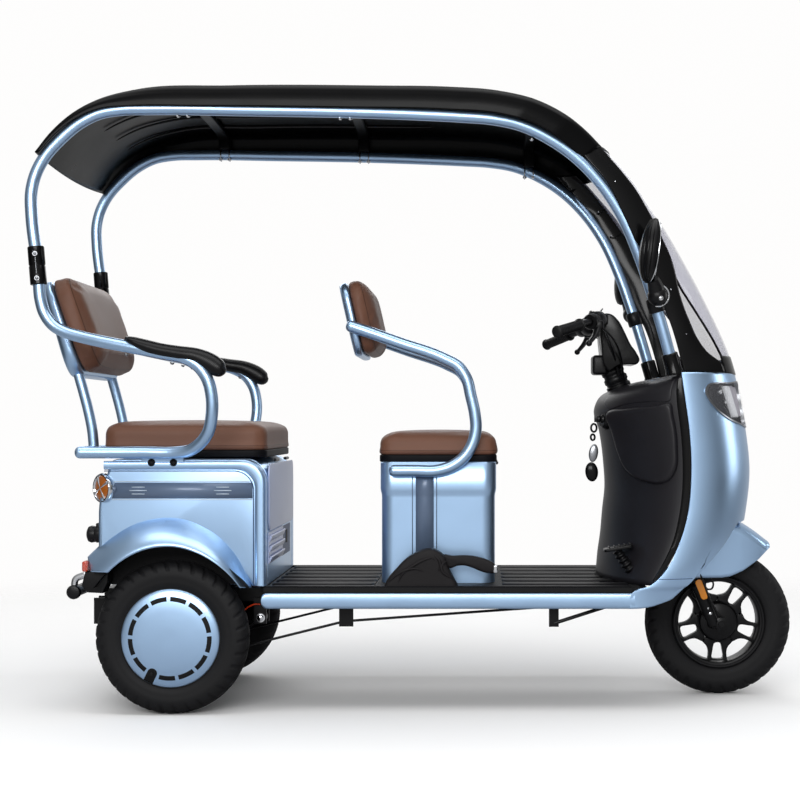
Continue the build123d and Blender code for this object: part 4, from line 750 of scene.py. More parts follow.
def sewnAt(name, depth, width=1.2):
    copy = brownLeather.copy()
    copy.name = name
    tree = copy.node_tree
    shader = tree.nodes["Principled BSDF"]
    value = addNode(tree, "Attribute", attribute_name="depth").outputs["Fac"]
    away = addMath(tree, "ABSOLUTE", addMath(tree, "SUBTRACT", value, depth))
    tone = addNode(tree, "MapRange", {"From Min": 0.3, "From Max": width, "To Min": 0.35, "To Max": 1.0,
                                      "Value": away})
    old = shader.inputs["Base Color"].links[0].from_socket
    dark = addNode(tree, "Mix", {"Factor": 1, "A": old, "B": tone.outputs["Result"]}, data_type="RGBA",
                   blend_type="MULTIPLY")
    feed(tree, shader, {"Base Color": dark.outputs["Result"]})
    return copy


def setDepth(made, values):
    field = made.data.attributes.new("depth", "FLOAT", "POINT")
    field.data.foreach_set("value", np.asarray(values, np.float32))


def flatRing(outline, z):
    return np.concatenate([outline, np.full((len(outline), 1), float(z))], 1)


# rings of a rounded rectangle from the flat base up over the crown; the sides pull in between corners
def cushionPart(low, high, corner, lower, upper, crown, pull):
    centre = (np.array(low[:2]) + np.array(high[:2])) / 2
    half = np.array([high[0] - low[0], high[1] - low[1]]) / 2
    outline = roundedOutline(2 * half[0], 2 * half[1], corner, 10)
    tight = np.minimum(np.abs(outline[:, 0]) / half[0], np.abs(outline[:, 1]) / half[1])
    outline = outline * (1 - pull * (1 - tight**2)[:, None] / half.min())
    height = high[2] - low[2]
    turn = quarter(7)
    steps = [(0.02, 0.0)]
    steps += [(1 - lower / half.min() * (1 - np.sin(t)), lower * (1 - np.cos(t))) for t in turn]
    steps += [(1 - upper / half.min() * (1 - np.cos(t)), height - upper * (1 - np.sin(t))) for t in turn]
    edge = steps[-1][0]
    steps += [(edge * s, height + crown * (1 - s**2)) for s in (0.9, 0.75, 0.55, 0.35, 0.15, 0.02)]
    return sheetPart(np.array([flatRing(centre + outline * s, low[2] + z) for s, z in steps]), wrap=True,
                     caps=True)


# each seat is a cushion with a black board under it
cushion = {"corner": 44, "lowerEdge": 10, "upperEdge": 24, "crown": 5, "pull": 4, "swell": 5, "fill": 0.75,
           "seam": 14, "boardInset": 10, "boardCorner": 38}
seats = {
    "driver": {"low": (-122, -213, 676.5), "high": (208, 213, 737)},
    "rear": {"low": (-857, -274, 690.5), "high": (-410, 274, 764)},
}
leatherSeam = sewnAt("brownLeatherSewn", cushion["seam"])
for name, seat in seats.items():
    base = seat["low"][2]
    part = cushionPart(seat["low"], seat["high"], cushion["corner"], cushion["lowerEdge"],
                       cushion["upperEdge"], cushion["crown"], cushion["pull"])
    pad = stuffed(name + "Cushion", [part], leatherSeam, name + "_seat", [name + "_cushion"],
                  lambda p, base=base: p[:, 2] < base + 10, cushion["swell"])
    setDepth(pad, coordsOf(pad.data)[:, 2] / mm - base)
print("seat cushions made")
for name, seat in seats.items():
    low, high = np.array(seat["low"]), np.array(seat["high"])
    wide, deep, _ = high - low - cushion["boardInset"]
    drop = max(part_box(name + "_seat_base")[0].z / mm, low[2] - 17)
    board = platePart(roundedOutline(wide, deep, cushion["boardCorner"]), low[2] + 3 - drop, 4,
                      ((low[0] + high[0]) / 2, 0, drop), (1, 0, 0), (0, 1, 0))
    build(name + "SeatBoard", [board], deckBlack, [name + "_seat_base"], body=name + "_seat")
print("seat boards made")


backs = {
    "rear": {"low": (-910, 901), "high": (-1000, 1156), "half": 254, "corner": 72, "depth": 52, "wrap": 14,
             "shell": (26, 42)},
    "driver": {"low": (-160, 952), "high": (-206, 1154), "half": 196, "corner": 58, "depth": 42, "wrap": 6,
               "shell": (24, 24)},
}
# share of the outline and distance out of the pad's rings, behind and then past the depth in front
padBehind = [(0.02, 1), (0.5, 1), (0.94, 1), (0.975, 3), (0.99, 8)]
padFront = [(0.88, 7), (0.8, 12), (0.7, 15), (0.5, 17), (0.25, 18), (0.02, 18)]
# share of the outline and share of the shell's thickness
shellBehind = [(0.995, 0.12), (1.0, 0.3), (0.995, 0.6), (0.97, 0.85), (0.92, 0.97), (0.8, 1.0), (0.5, 1.05),
               (0.02, 1.08)]
shells = []
for name, back in backs.items():
    low, high = np.array(back["low"], float), np.array(back["high"], float)
    length = np.linalg.norm(high - low)
    lean = (high - low) / length
    front = np.array([lean[1], -lean[0]])
    outline = roundedOutline(2 * back["half"], length, back["corner"], 12)

    # rings from shares of the outline and distances out along the lean's front; the sides wrap forward
    def backPart(steps):
        rings = []
        for share, out in steps:
            y, up = outline[:, 0] * share, length / 2 + outline[:, 1] * share
            wrapped = out(up / length) if callable(out) else out
            wrapped = wrapped + back["wrap"] * (y / back["half"])**2 - back["wrap"]
            rings.append(sideLine(low + up[:, None] * lean + wrapped[:, None] * front, y))
        return sheetPart(np.array(rings), wrap=True, caps=True)

    depth = back["depth"]
    round_ = [(1 - 16 / back["half"] * (1 - np.cos(t)), depth - 16 + 14 * np.sin(t)) for t in quarter(6)]
    steps = padBehind + round_ + [(share, depth + out) for share, out in padFront]
    pad = stuffed(name + "BackPad", [backPart(steps)], sewnAt(name + "LeatherSewn", depth - 6.0, 1.4),
                  "chassis", [name + "_backrest"],
                  lambda p: p[:, 0] < np.interp(p[:, 2], [low[1], high[1]], [low[0], high[0]]) + 4, 5)
    at = coordsOf(pad.data) / mm
    setDepth(pad, (at[:, [0, 2]] - low) @ front - back["wrap"] * (at[:, 1] / back["half"])**2 + back["wrap"])
    thin, thick = back["shell"]
    shellRings = [(share, lambda up, part=part: -(0.6 + part * (thick + (thin - thick) * np.clip(up, 0, 1))))
                  for share, part in shellBehind]
    shells.append(backPart([(0.02, -0.6), (0.97, -0.6), *shellRings]))
build("backShells", shells, bluePaint, ["backrest_shells"], angle=60)
print("backrests made")

posts = {"y": 193, "radius": 14,
         "route": [(-892, 690), (-897, 745), (-908, 800), (-921, 850), (-933, 893), (-941, 925)]}
post = tubePart(sideLine(smoothLine(posts["route"], 60), -posts["y"]), posts["radius"], 28)
build("backPosts", [*bothSides(post), rodPart((-892, -327, 688), (-892, 327, 688), 16, 28)], bluePaint,
      ["backrest_posts"])


# Driver's seat box: rounded rectangles, the upper part stepping out at the waist.

box = {
    # height and how far the outline is drawn in
    "levels": [(333, 3.5), (340, 3.5), (564, 3.5), (572, 3), (580, 1), (588, 0), (658, 0), (661, 3)],
    "long": 315, "wide": 436, "middle": 43.5, "corner": 36,
    # rear and front ends of the stripe down each side
    "stripes": [(-17, 32), (-27, -24.5), (38.5, 41)],
}
rings = [flatRing(roundedOutline(box["long"] - 2 * inset, box["wide"] - 2 * inset, box["corner"], 12)
                  + np.array([box["middle"], 0]), z) for z, inset in box["levels"]]
build("driverBox", [sheetPart(np.array(rings), wrap=True, caps=True)], bluePaint,
      ["driver_seat_box"], angle=50)
z = np.array([336, 564, 572, 580, 588, 640.0])
y = box["wide"] / 2 - np.interp(z, *np.array(box["levels"]).T) + 0.7
stripes = [sheetPart(np.stack([np.stack([np.full(6, x), side * y, z], -1) for x in ends]))
           for side in (-1, 1) for ends in box["stripes"]]
build("driverBoxStripe", stripes, stripeBlue, thick=0.5)
print("driver's box made")


# Rear box: side plates cut out over the wheels, a middle, and a mudguard over each wheel.

rear = {"rear": -851, "front": -410, "low": 333.5, "high": 670, "half": 318, "inner": 262, "arch": 247,
        "frontCorner": 62, "edge": 9,
        "rearCorner": [(-798, 670), (-812, 667), (-821, 657), (-827, 636), (-839, 594), (-848, 562),
                       (-851, 530)]}
axleX, axleZ = -653, 202


# a line round the axle of the rear wheels, seen from the side, from angles in radians
def roundAxle(radius, turn):
    return np.stack([axleX + radius * np.cos(turn), axleZ + radius * np.sin(turn)], -1)


# the corner where a side outline turns from its front edge to its top
def topCorner(frontX, topZ, corner, turn):
    return np.stack([frontX - corner + corner * np.cos(turn), topZ - corner + corner * np.sin(turn)], -1)


topLine = np.concatenate([topCorner(rear["front"], rear["high"], rear["frontCorner"], quarter(12)),
                          smoothLine(rear["rearCorner"], 24)])
reach = np.arcsin((rear["low"] - axleZ) / rear["arch"])
arch = roundAxle(rear["arch"], np.linspace(np.pi - reach, reach, 48))
corners = [(rear["rear"], rear["low"]), (rear["front"], rear["low"])]
cutOut = np.concatenate([topLine, corners[:1], arch[arch[:, 0] > rear["rear"] + 6], corners[1:]])
sidePlate = platePart(cutOut, rear["half"] - rear["inner"], rear["edge"], (0, -rear["inner"], 0), *sideways)
middle = platePart(np.concatenate([topLine, corners]), 2 * rear["inner"], 0.5, (0, rear["inner"], 0),
                   *sideways, 2)
build("rearBox", [*bothSides(sidePlate), middle], bluePaint, ["rear_box"], angle=40)

# a frame band runs along the top and down the front edge; inside it a dark line is painted shade for a groove
border = {
    # rear end, top, front and corner of the band's outer and inner lines
    "outer": (-835, 665, -411, 58), "inner": (-835, 641, -438, 52), "foot": 336,
    # share of the way from the outer line to the inner one, and distance out
    "section": [(0, -2), (0.02, 3), (0.1, 5.2), (0.25, 6), (0.6, 6), (0.8, 4.6), (0.93, 1.5), (0.96, -2)],
    "groove": (1.1, 0.2),
}


def bandLine(rearX, topZ, frontX, corner):
    return np.concatenate([[(rearX, topZ)], topCorner(frontX, topZ, corner, quarter(20)[::-1]),
                           [(frontX, border["foot"])]])


outer, inner = bandLine(*border["outer"]), bandLine(*border["inner"])
rows = [sideLine(outer + (inner - outer) * share, -(rear["half"] + out))
        for share, out in [*border["section"], border["groove"]]]
build("rearBorders", bothSides(sheetPart(np.array(rows[:-1]))), bluePaint, angle=50)
# the groove is not cut: a dark blue line on the side is its painted shade
build("rearGrooveShade", bothSides(tubePart(rows[-1], 1.4, 8)), darkBlue)

# a painted stripe along each side, edged and crossed by light lines
stripe = {"x": (-814, -443), "z": (562, 612), "edge": 2.6, "lines": (-768, -545), "lineLong": 46,
          # height of each light line over the stripe's foot, and how far its ends are drawn in
          "levels": [(16, 6), (25, 0), (34, 6)]}


def stripePart(x0, x1, z0, z1, lift):
    y = -(rear["half"] + lift)
    return sheetPart(np.array([[(x0, y, z0), (x1, y, z0)], [(x0, y, z1), (x1, y, z1)]], float))


x0, x1 = stripe["x"]
z0, z1 = stripe["z"]
build("rearStripe", bothSides(stripePart(x0, x1, z0 + 4, z1 - 4, 0.6)), stripeBlue, thick=0.4)
fine = [stripePart(x0, x1, z1 - stripe["edge"], z1, 0.6), stripePart(x0, x1, z0, z0 + stripe["edge"], 0.6)]
fine += [stripePart(start + inset, start + stripe["lineLong"] - inset, z0 + up - 1, z0 + up + 1, 1.2)
         for start in stripe["lines"] for up, inset in stripe["levels"]]
build("rearStripeLines", bothSides(*fine), stripeLight, thick=0.4)

guard = {
    # degrees round from the front to the rear, blend radius, lip radius and reach outwards
    "stations": [(32, 243, 224, 34), (40, 254, 227, 46), (55, 277, 232, 58), (72, 300, 238, 62),
                 (90, 316, 243, 63), (107, 316, 243, 62), (122, 309, 240, 60), (131, 306, 238, 56),
                 (137, 306, 237, 52)],
    # where each share of the section starts and stops, in degrees
    "starts": ([0, 1], [32, 36]),
    "stops": ([0, 0.3, 0.5, 0.8, 1], [137.6, 140, 140.3, 136.2, 133.1]),
    # share from the blend line to the lip, and share of the way out
    "section": [(-0.05, -0.12), (0, 0.0), (0.07, 0.1), (0.2, 0.27), (0.4, 0.52), (0.6, 0.74), (0.8, 0.91),
                (0.93, 0.985), (1.0, 1.0), (1.03, 0.97), (1.01, 0.9)],
    "wall": 2.5,
}
degrees, blend, lip, out = smoothLine(guard["stations"], 90).T[:, :, None]
share, way = smoothLine(guard["section"], 34).T[:, None, :]
start, end = np.interp(share, *guard["starts"]), np.interp(share, *guard["stops"])
turn = np.radians(start + (end - start) * (degrees - 32) / 105)
around = roundAxle(blend + (lip - blend) * share, turn)
grid = np.stack([around[..., 0], -(rear["half"] - 4 + (out + 4) * way), around[..., 1]], -1)
build("mudguards", bothSides(sheetPart(grid)), bluePaint, thick=guard["wall"],
      angle=60)

# dark wheel wells behind the arches: radius and distance out of each row
turn = np.radians(np.linspace(33, 147, 50))
rows = [sideLine(roundAxle(radius, turn), -out) for radius, out in ((241, 262), (241, 330), (240, 362))]
build("wheelWells", bothSides(sheetPart(np.array(rows))), matteBlack, thick=1)
wall = roundAxle(243, turn)
wall[:, 0] = np.clip(wall[:, 0], -846, -414)
build("wellWalls", bothSides(platePart(wall, 1.0, 0.2, (0, -262.4, 0), *sideways, 1)), matteBlack)
print("rear box made")

# Rear box's front face: a wide panel and a skirt, with slanting louvres over the skirt.
# Beside them a dark blue plate on the face is painted shade for a recess, and a black plate is painted shade
# for an upright slot.
face = {
    "x": rear["front"],
    # near side, far side, foot, top and corner
    "panel": (-268, 262, 476, 656, 26),
    "skirt": [(24, 388), (36, 473), (-266, 473), (-266, 388)],
    "slatFoot": 393, "slatStep": 28, "slats": 3,
    "slot": [(112, 418), (142, 418), (142, 456), (112, 456)],
    "recessShade": [(30, 386), (214, 386), (214, 470), (30, 470)],
}
y0, y1, z0, z1, corner = face["panel"]
panel = roundedOutline(y1 - y0, z1 - z0, corner) + np.array([(y0 + y1) / 2, (z0 + z1) / 2])
build("rearBoxPanel", [platePart(panel, 5, 2.5, (face["x"] + 0.5, 0, 0), *frontal),
                       platePart(face["skirt"], 3, 1, (face["x"] + 0.4, 0, 0), *frontal)],
      greyPanel, ["rear_box_panel"])
slats = [platePart([(-262, 0), (22 + 5 * k, 0), (22 + 5 * k, 18), (-262, 18)], 6, 2.4,
                   (face["x"] - 1, 0, face["slatFoot"] + face["slatStep"] * k), (0, 1, 0), (0.45, 0, 1))
         for k in range(face["slats"])]
build("rearBoxSlats", slats, greyPanel)
# the slot is not cut: a black plate on the face is its painted shade
build("rearBoxSlotShade", [platePart(face["slot"], 2, 0.5, (face["x"] + 0.6, 0, 0), *frontal, 1)], matteBlack)
# a dark blue plate on the face is painted shade for the recess
build("rearBoxRecessShade", [platePart(face["recessShade"], 1, 0.3, (face["x"] + 0.3, 0, 0), *frontal, 1)], darkBlue)
print("rear panel made")


# Bent tubes: one round section along smooth centrelines, (forward, out, up).

tubes = {
    "canopy": [(-998, 352, 1129), (-1006, 352, 1218), (-1010, 352, 1244), (-1017, 352, 1310),
               (-1017.5, 352, 1370), (-1006, 352, 1417), (-984, 352, 1459), (-940, 352, 1509),
               (-892, 352, 1549), (-840, 352, 1575), (-785, 352, 1585), (-707, 352, 1587), (-450, 352, 1584),
               (-209, 352, 1580), (0, 352, 1573), (105, 350, 1568), (190, 346, 1562), (262, 338, 1548),
               (341, 328, 1513), (408, 319, 1468), (474, 310, 1402), (528, 302, 1324), (582, 292, 1204),
               (616, 285, 1105), (644, 279, 1013), (671, 271, 918)],
    "arm": [(-998, 352, 1140), (-993, 352, 1087), (-983, 352, 1053), (-958, 354, 1020), (-927, 358, 1003),
            (-887, 365, 991), (-831, 378, 978), (-750, 392, 962), (-670, 402, 946), (-605, 408, 932),
            (-573, 410, 914), (-548, 410, 881), (-536, 409, 837), (-536, 405, 786), (-547, 395, 742),
            (-571, 380, 712), (-603, 364, 693), (-640, 352, 688), (-720, 346, 688), (-892, 345, 688)],
    "driverArm": [(-75, 235, 637), (-20, 235, 637), (39, 235, 637), (76, 235, 647), (111, 235, 671),
                  (135, 235, 706), (146, 235, 750), (143, 235, 790), (132, 234, 840), (121, 233, 884),
                  (98, 231, 918), (60, 229, 939), (-58, 224, 981), (-150, 219, 1013), (-192, 217, 1027)],
    "radius": 16, "endRound": 13.0, "sides": 22,
}


# a tube whose ends close in a quarter round
def roundEnded(line):
    radius, r, turn = float(tubes["radius"]), tubes["endRound"], quarter(6)[:-1]
    first, last = unit(line[0] - line[1]), unit(line[-1] - line[-2])
    head = [line[0] + first * r * np.cos(t) for t in turn]
    tail = [line[-1] + last * r * np.cos(t) for t in turn[::-1]]
    size = radius - r + r * np.sin(turn)
    return tubePart(np.concatenate([head, line, tail]),
                    np.concatenate([size, np.full(len(line), radius), size[::-1]]), tubes["sides"])


tubeLines = {}
for key, count, name, node in (("canopy", 260, "canopyTubes", "roof_tubes"),
                               ("arm", 190, "rearArmTubes", "rear_arms"),
                               ("driverArm", 120, "driverArmTubes", "driver_arms")):
    tubeLines[key] = smoothLine(np.array(tubes[key]) * np.array([1, -1, 1]), count)
    build(name, bothSides(roundEnded(tubeLines[key])), bluePaint, [node])
canopyLine = tubeLines["canopy"]
stays = [boxPart((-736, -323, 648), (-624, -316, 684), 2), rodPart((-40, -219, 637), (-40, -235, 637), 9),
         rodPart((20, -219, 637), (20, -235, 637), 9), rodPart((-183, -196, 1019), (-183, -218, 1023), 6)]
build("armStays", bothSides(*stays), bluePaint)


# a domed bolt head on a washer
def boltPart(at, axis, size=6.0, head=4.0):
    return lathePart([(0.01, head), (size * 0.6, head * 0.92), (size * 0.92, head * 0.6), (size, head * 0.25),
                      (size, 0), (size * 1.35, 0), (size * 1.35, -1.2), (0.01, -1.2)], at, axis, 24)


build("armPlateBolts", bothSides(*[boltPart((x, -324, 661), (0, -1, 0), 7.5, 5) for x in (-709, -651)]),
      matteBlack)
under = [boltPart(at, (-0.2, 0, -1), 5, 5)
         for at in ((-640, -396, 921), (-586, -404, 908), (-760, -389, 944))]
build("armPadBolts", bothSides(*under), steel)

# couplings: a two-part sleeve at the rear, with bolts on its outer side, and a socket at the front
sleeve = {"low": (-998, -352, 1127), "high": (-1006, -352, 1227)}
foot = np.array(sleeve["low"], float)
length = np.linalg.norm(np.array(sleeve["high"]) - foot)
way = unit(np.array(sleeve["high"]) - foot)
profile = [(16.4, 0), (20, 0), (21.5, 2), (21.5, length / 2 - 3), (20.3, length / 2 - 1),
           (20.3, length / 2 + 1), (21.5, length / 2 + 3), (21.5, length - 2), (20, length), (16.4, length)]
socket = [(16.4, -34), (20, -34), (22, -31), (22, 12), (24, 16), (24, 22), (2, 22)]
build("canopySleeves", bothSides(lathePart(profile, foot, way, 40),
                                 lathePart(socket, canopyLine[-1], canopyLine[-1] - canopyLine[-4], 40)),
      glossBlack, ["canopy_couplings"])
outside = foot + np.array([2.0, -21.4, 0])
parts = [boltPart(outside + way * length * share, (0.1, -1, 0), 4.6, 3.5) for share in (0.16, 0.8)]
parts.append(rodPart(*[outside + way * length * share + np.array([0, 0.1, 0]) for share in (0.28, 0.7)],
                     1.1, 8))
build("sleeveBolts", bothSides(*parts), steel)
print("tubes made")


# Roof supports: a strap under the roof, a hanger down to each tube and a bright saddle.

supports = {
    "x": (-622, -197, 306), "half": 17, "strap": 338,
    # forward of the strap's middle and up, across its section
    "section": [(-17, 4), (-15, -5), (-12, -7), (12, -7), (15, -5), (17, 4)],
    "saddles": (-13, 13), "saddleRadius": 17.5,
}
straps, saddles = [], []
yStrap = np.linspace(-supports["strap"], supports["strap"], 60)
overhead = np.array(tubes["canopy"])[9:].T
for x in supports["x"]:
    zRoof = np.interp(x, *np.array(roof["top"]).T)
    z = zRoof - 12 - 10 * (np.abs(yStrap) / supports["strap"])**6
    straps.append(sheetPart(np.array([np.stack([np.full(60, x + dx), yStrap, z + dz], -1)
                                      for dx, dz in supports["section"]])))
    tubeZ = np.interp(x, overhead[0], overhead[2])
    for side in (-1, 1):
        yTube = side * np.interp(x, overhead[0], overhead[1])
        low, high = sorted((yTube - side * 4, yTube - side * 30))
        straps.append(boxPart((x - supports["half"], low, tubeZ + 14),
                              (x + supports["half"], high, zRoof - 14), 4))
        turn, r = np.linspace(-0.1, np.pi + 0.3, 24), supports["saddleRadius"]
        for dx in supports["saddles"]:
            loop = np.stack([np.full(24, x + dx), yTube - side * r * np.sin(turn),
                             tubeZ + r * np.cos(turn)], -1)
            saddles.append(tubePart(loop, 2.2, 8))
            saddles.append(boltPart((x + dx, yTube - side * 12, tubeZ - 15), (0, -side * 0.5, -1), 5, 4))
build("roofStraps", straps, roofBlack, ["roof_crossbars"], thick=1.5)
build("tubeSaddles", saddles, chrome)
print("roof supports made")


# Arm pads: an oval section whose height follows a wavy top and a drooping front.

pads = {
    # forward, top, bottom
    "line": [(-763, 990, 980), (-745, 988, 970), (-714, 980, 952), (-670, 969, 938), (-619, 961, 928),
             (-576, 955, 919), (-548, 945, 904), (-528, 933, 892), (-510, 917, 886), (-500, 903, 893)],
    "half": 25, "thicker": 1.22,
    # forward, and how far out the middle lies there
    "out": ([-763, -700, -600, -508], [389, 397, 404, 405]),
}
forward, high, low = smoothLine(pads["line"], 70).T
tall = np.maximum((high - low) / 2, 1.5) * pads["thicker"]
ends = np.clip(np.minimum(np.arange(70), np.arange(70)[::-1]) / 8, 0.02, 1)
wide = pads["half"] * np.sqrt(1 - (1 - ends)**2)
path = np.stack([forward, -np.interp(forward, *pads["out"]), (high + low) / 2], -1)
build("armPads", bothSides(tubePart(path, tall, 28, squash=wide / tall)), satinBlack,
      ["armrest_pads"], angle=60)
print("arm pads made")


# Tyres: a section turned about the axle, its crown cut by slanting grooves.

tyre = {
    # distance from the middle and radius
    "section": [(-25, 126), (-33, 131), (-38, 140), (-40.5, 152), (-42, 165), (-41, 178), (-36.5, 190),
                (-28, 198.5), (-15, 203.6), (0, 205)],
    "radius": 205, "half": 41.5, "grooves": 34, "slant": 0.085, "depth": 5.5, "belt": 17, "crown": 176,
    "rings": (147, 168), "columns": 442,
}


# the grooves are sin(grooves * turn + slant * w); a belt groove runs each side, and two fine rings stand
# on the flank as exp(-((r - ring) / 1.3)^2)
def tyrePart(centre, outer):
    half = smoothLine(tyre["section"], 25)
    w = np.concatenate([half[:, 0], -half[-2::-1, 0]])[:, None]
    scale = outer / tyre["radius"]
    r = np.concatenate([half[:, 1], half[-2::-1, 1]])[:, None] * scale
    turn = circle(tyre["columns"])[None]
    away = tyre["half"] - np.abs(w)
    wave = np.sin(tyre["grooves"] * turn + tyre["slant"] * np.abs(w) + np.where(w < 0, 0, 1.6))
    cut = np.clip((wave - 0.55) / 0.25, 0, 1) * np.clip((np.abs(w) - 3) / 3, 0, 1) * np.clip(away / 2, 0, 1)
    belt = np.clip(1 - np.abs(np.abs(w) - tyre["belt"]) / 2.4, 0, 1) * 0.8
    r = r - tyre["depth"] * np.maximum(cut, belt) * np.clip((r - tyre["crown"] * scale) / 5, 0, 1)
    rings = sum(np.exp(-((r / scale - ring) / 1.3)**2) for ring in tyre["rings"])
    w = np.sign(w) * (np.abs(w) + 1.3 * rings * (away < 9))
    grid = np.stack([centre[0] + r * np.cos(turn), centre[1] + np.broadcast_to(w, r.shape),
                     centre[2] + r * np.sin(turn)], -1)
    return sheetPart(grid, wrap=True)


frontAxle = np.array([830, 0, 205.0])
for name, body, node, centre, radius in (
        ("frontTyre", "front_wheel", "front_tyre", frontAxle, 205),
        ("rearTyreLeft", "rear_wheel_left", "rear_tyre_left", (axleX, 318, axleZ), 202),
        ("rearTyreRight", "rear_wheel_right", "rear_tyre_right", (axleX, -318, axleZ), 202)):
    build(name, [tyrePart(centre, radius)], rubber, [node], angle=40, body=body)
print("tyres made")


# Front rim: a stepped barrel, a hub drum and five double spokes with a window in each.

# a profile of (radius, distance from the middle) on one side, and the same on the other side
def bothEnds(profile):
    return [*profile, *[(radius, -away) for radius, away in profile[::-1]]]


rim = {
    # halves of the barrel and of the drum, and the barrel's inner face
    "barrel": [(113, -30), (116, -36), (121, -37), (122.5, -39), (127, -39.5), (130, -37),
               (130, -33), (126, -30), (124, -24), (118, -12)],
    "drum": [(0.01, 39), (14, 39), (15, 36), (44, 34), (51, 31), (54, 26), (54, 14), (57, 12)],
    "inner": [(111.5, 14), (111.5, -14)],
    # one half of a double spoke, along its radius and across it
    "spoke": [(48, 0), (61, 0), (62, 6), (65, 10), (72, 12), (98, 16.5), (104, 16), (107, 12), (108, 0),
              (116, 0), (116, 29), (110, 27.5), (98, 26), (88, 25.5), (79, 27), (71, 31), (64, 38), (57, 44),
              (48, 42)],
    "spokes": 5, "spokeDepth": 24,
}
barrel = [*bothEnds(rim["barrel"]), *rim["inner"], rim["barrel"][0]]
parts = [lathePart(barrel, frontAxle, (0, 1, 0), 120)]
for k in range(rim["spokes"]):
    a = np.radians(-90 + 360 / rim["spokes"] * k)
    out, side = np.array([np.cos(a), 0, np.sin(a)]), np.array([-np.sin(a), 0, np.cos(a)])
    start = frontAxle - rim["spokeDepth"] / 2 * np.cross(out, side)
    parts += [platePart(np.array(rim["spoke"]) * np.array([1, hand]), rim["spokeDepth"], 3, start, out,
                        side, 3) for hand in (1, -1)]
parts.append(lathePart(bothEnds(rim["drum"]), frontAxle, (0, 1, 0), 80))
build("frontRim", parts, blackMetal, ["front_rim"], angle=28, body="front_wheel")
print("front rim made")


# Rear wheel discs: a shallow dome with a ring of slots and a valve notch.

disc = {
    # radius and height
    "dome": [(0, 14), (30, 13.8), (60, 12.6), (85, 10.8), (97, 9.4), (108, 7.8), (118, 5.6), (125, 3.2),
             (128.6, 0.8), (129.5, -1.5), (129.5, -4)],
    "slots": 12, "start": 266.0, "step": 28.6, "span": 23.4, "inner": 97.5, "outer": 109.5, "notch": 243.0,
    "notchHalf": 13, "valve": 104,
}
domeLine = smoothLine(disc["dome"], 60)

for body, side in (("rear_wheel_left", 1), ("rear_wheel_right", -1)):
    name = "Left" if side > 0 else "Right"
    node = "rear_hubcap_" + name.lower()
    capLow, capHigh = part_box(node)
    seatY = (capLow.y if side > 0 else capHigh.y) / mm + side * 0.5
    build("discRear" + name, [lathePart(domeLine, (axleX, seatY, axleZ), (0, side, 0), 100)], bluePaint,
          [node], thick=2.5, angle=40, body=body)

    # points raised a little off the dome, at x and z from its middle
    def onDome(x, z, lift):
        y = seatY + side * (np.interp(np.hypot(x, z), *domeLine.T) + lift)
        return sheetPart(np.stack([axleX + x, y, axleZ + z], -1))

    patches = []
    r = np.linspace(disc["inner"], disc["outer"], 8)[:, None]
    for k in range(disc["slots"]):
        middle = disc["start"] + k * disc["step"]
        turn = np.radians(np.linspace(middle - disc["span"] / 2, middle + disc["span"] / 2, 24))
        patches.append(onDome(r * np.cos(turn), r * np.sin(turn), 0.35))
    # the notch is a channel with a round end, u along it and v across
    notch, half = np.radians(disc["notch"]), disc["notchHalf"]
    u = np.linspace(88, 131, 30)[:, None]
    wide = half * np.sqrt(np.clip(1 - np.clip((88 + half - u) / half, 0, 1)**2, 0, 1))
    v = wide * np.linspace(-1, 1, 12)[None]
    patches.append(onDome(u * np.cos(notch) - v * np.sin(notch), u * np.sin(notch) + v * np.cos(notch), 0.6))
    build("discSlots" + name, patches, matteBlack, thick=0.6, body=body)
    valve = roundAxle(disc["valve"], notch)
    build("valve" + name, [rodPart(*[(valve[0], seatY + side * y, valve[1]) for y in (7, 14)], 4.5, 16, 1)],
          satinBlack, body=body)
print("rear discs made")


# Fork, its reflectors, and the brake's hose and arm.

rake = np.radians(22)
axisDown = np.array([np.sin(rake), 0, -np.cos(rake)])
fork = {"half": 66, "middle": 108, "top": 232, "crown": 236, "reflector": (19, 58, 8), "holder": (23, 62, 9)}
parts, strips, holders, bits = [], [], [], []
for side in (-1, 1):
    end = frontAxle + np.array([0, side * fork["half"], 0])
    foot = end + np.array([-20, 0, 2])
    top, mid = foot - axisDown * fork["top"], foot - axisDown * fork["middle"]
    parts += [tubePart([foot + axisDown * 14, foot + axisDown * 8, foot, mid, mid - axisDown * 3],
                       [8, 17, 19, 19, 15], 28),
              tubePart([mid - axisDown * 2, top], 13.5, 24),
              lathePart([(21, -4), (22, 0), (22, 8), (19, 12), (15, 13)], mid, -axisDown, 28),
              boxPart(end + np.array([-30, -11, -16]), end + np.array([14, 11, 15]), 9),
              lathePart([(0.01, 26), (9, 26), (10, 24), (10, 20), (15, 19), (15, 16), (19, 15), (19, -16)],
                        end, (0, side, 0), 6)]
    at = np.array([773.6, side * 88, 302.0])
    acrossStrip = (-side * np.cos(rake), 0, -side * np.sin(rake))
    for made, (wide, tall, corner), depth, back in ((strips, fork["reflector"], 4, 0),
                                                    (holders, fork["holder"], 5, 5.0)):
        made.append(platePart(roundedOutline(wide, tall, corner, 6), depth, 1.5,
                              at - np.array([0, side * back, 0]), acrossStrip, -axisDown))
    bits += [boltPart(foot + np.array([0, side * 18, 0]) - axisDown * along, (0, side, 0), size, 3)
             for along, size in ((30, 4.5), (46, 3.5))]
crown = frontAxle - axisDown * fork["crown"]
parts += [boxPart(crown + np.array([-24, -88, -12]), crown + np.array([22, 88, 12]), 9),
          rodPart(crown, crown - axisDown * 230, 17), rodPart(crown + np.array([6, 0, 4]), (776, 0, 494), 7),
          rodPart((830, -90, 205), (830, 90, 205), 7.5, 24, 1.5)]
build("fork", parts, blackMetal, ["front_fork"], angle=40, body="steering")
build("forkHolders", holders, satinBlack, body="steering")
build("forkBolts", bits, chrome, body="steering")
build("forkReflectors", strips, orange, body="steering")
hose = smoothLine([(700, -40, 500), (742, -70, 420), (776, -88, 330), (800, -90, 268), (818, -84, 236)], 60)
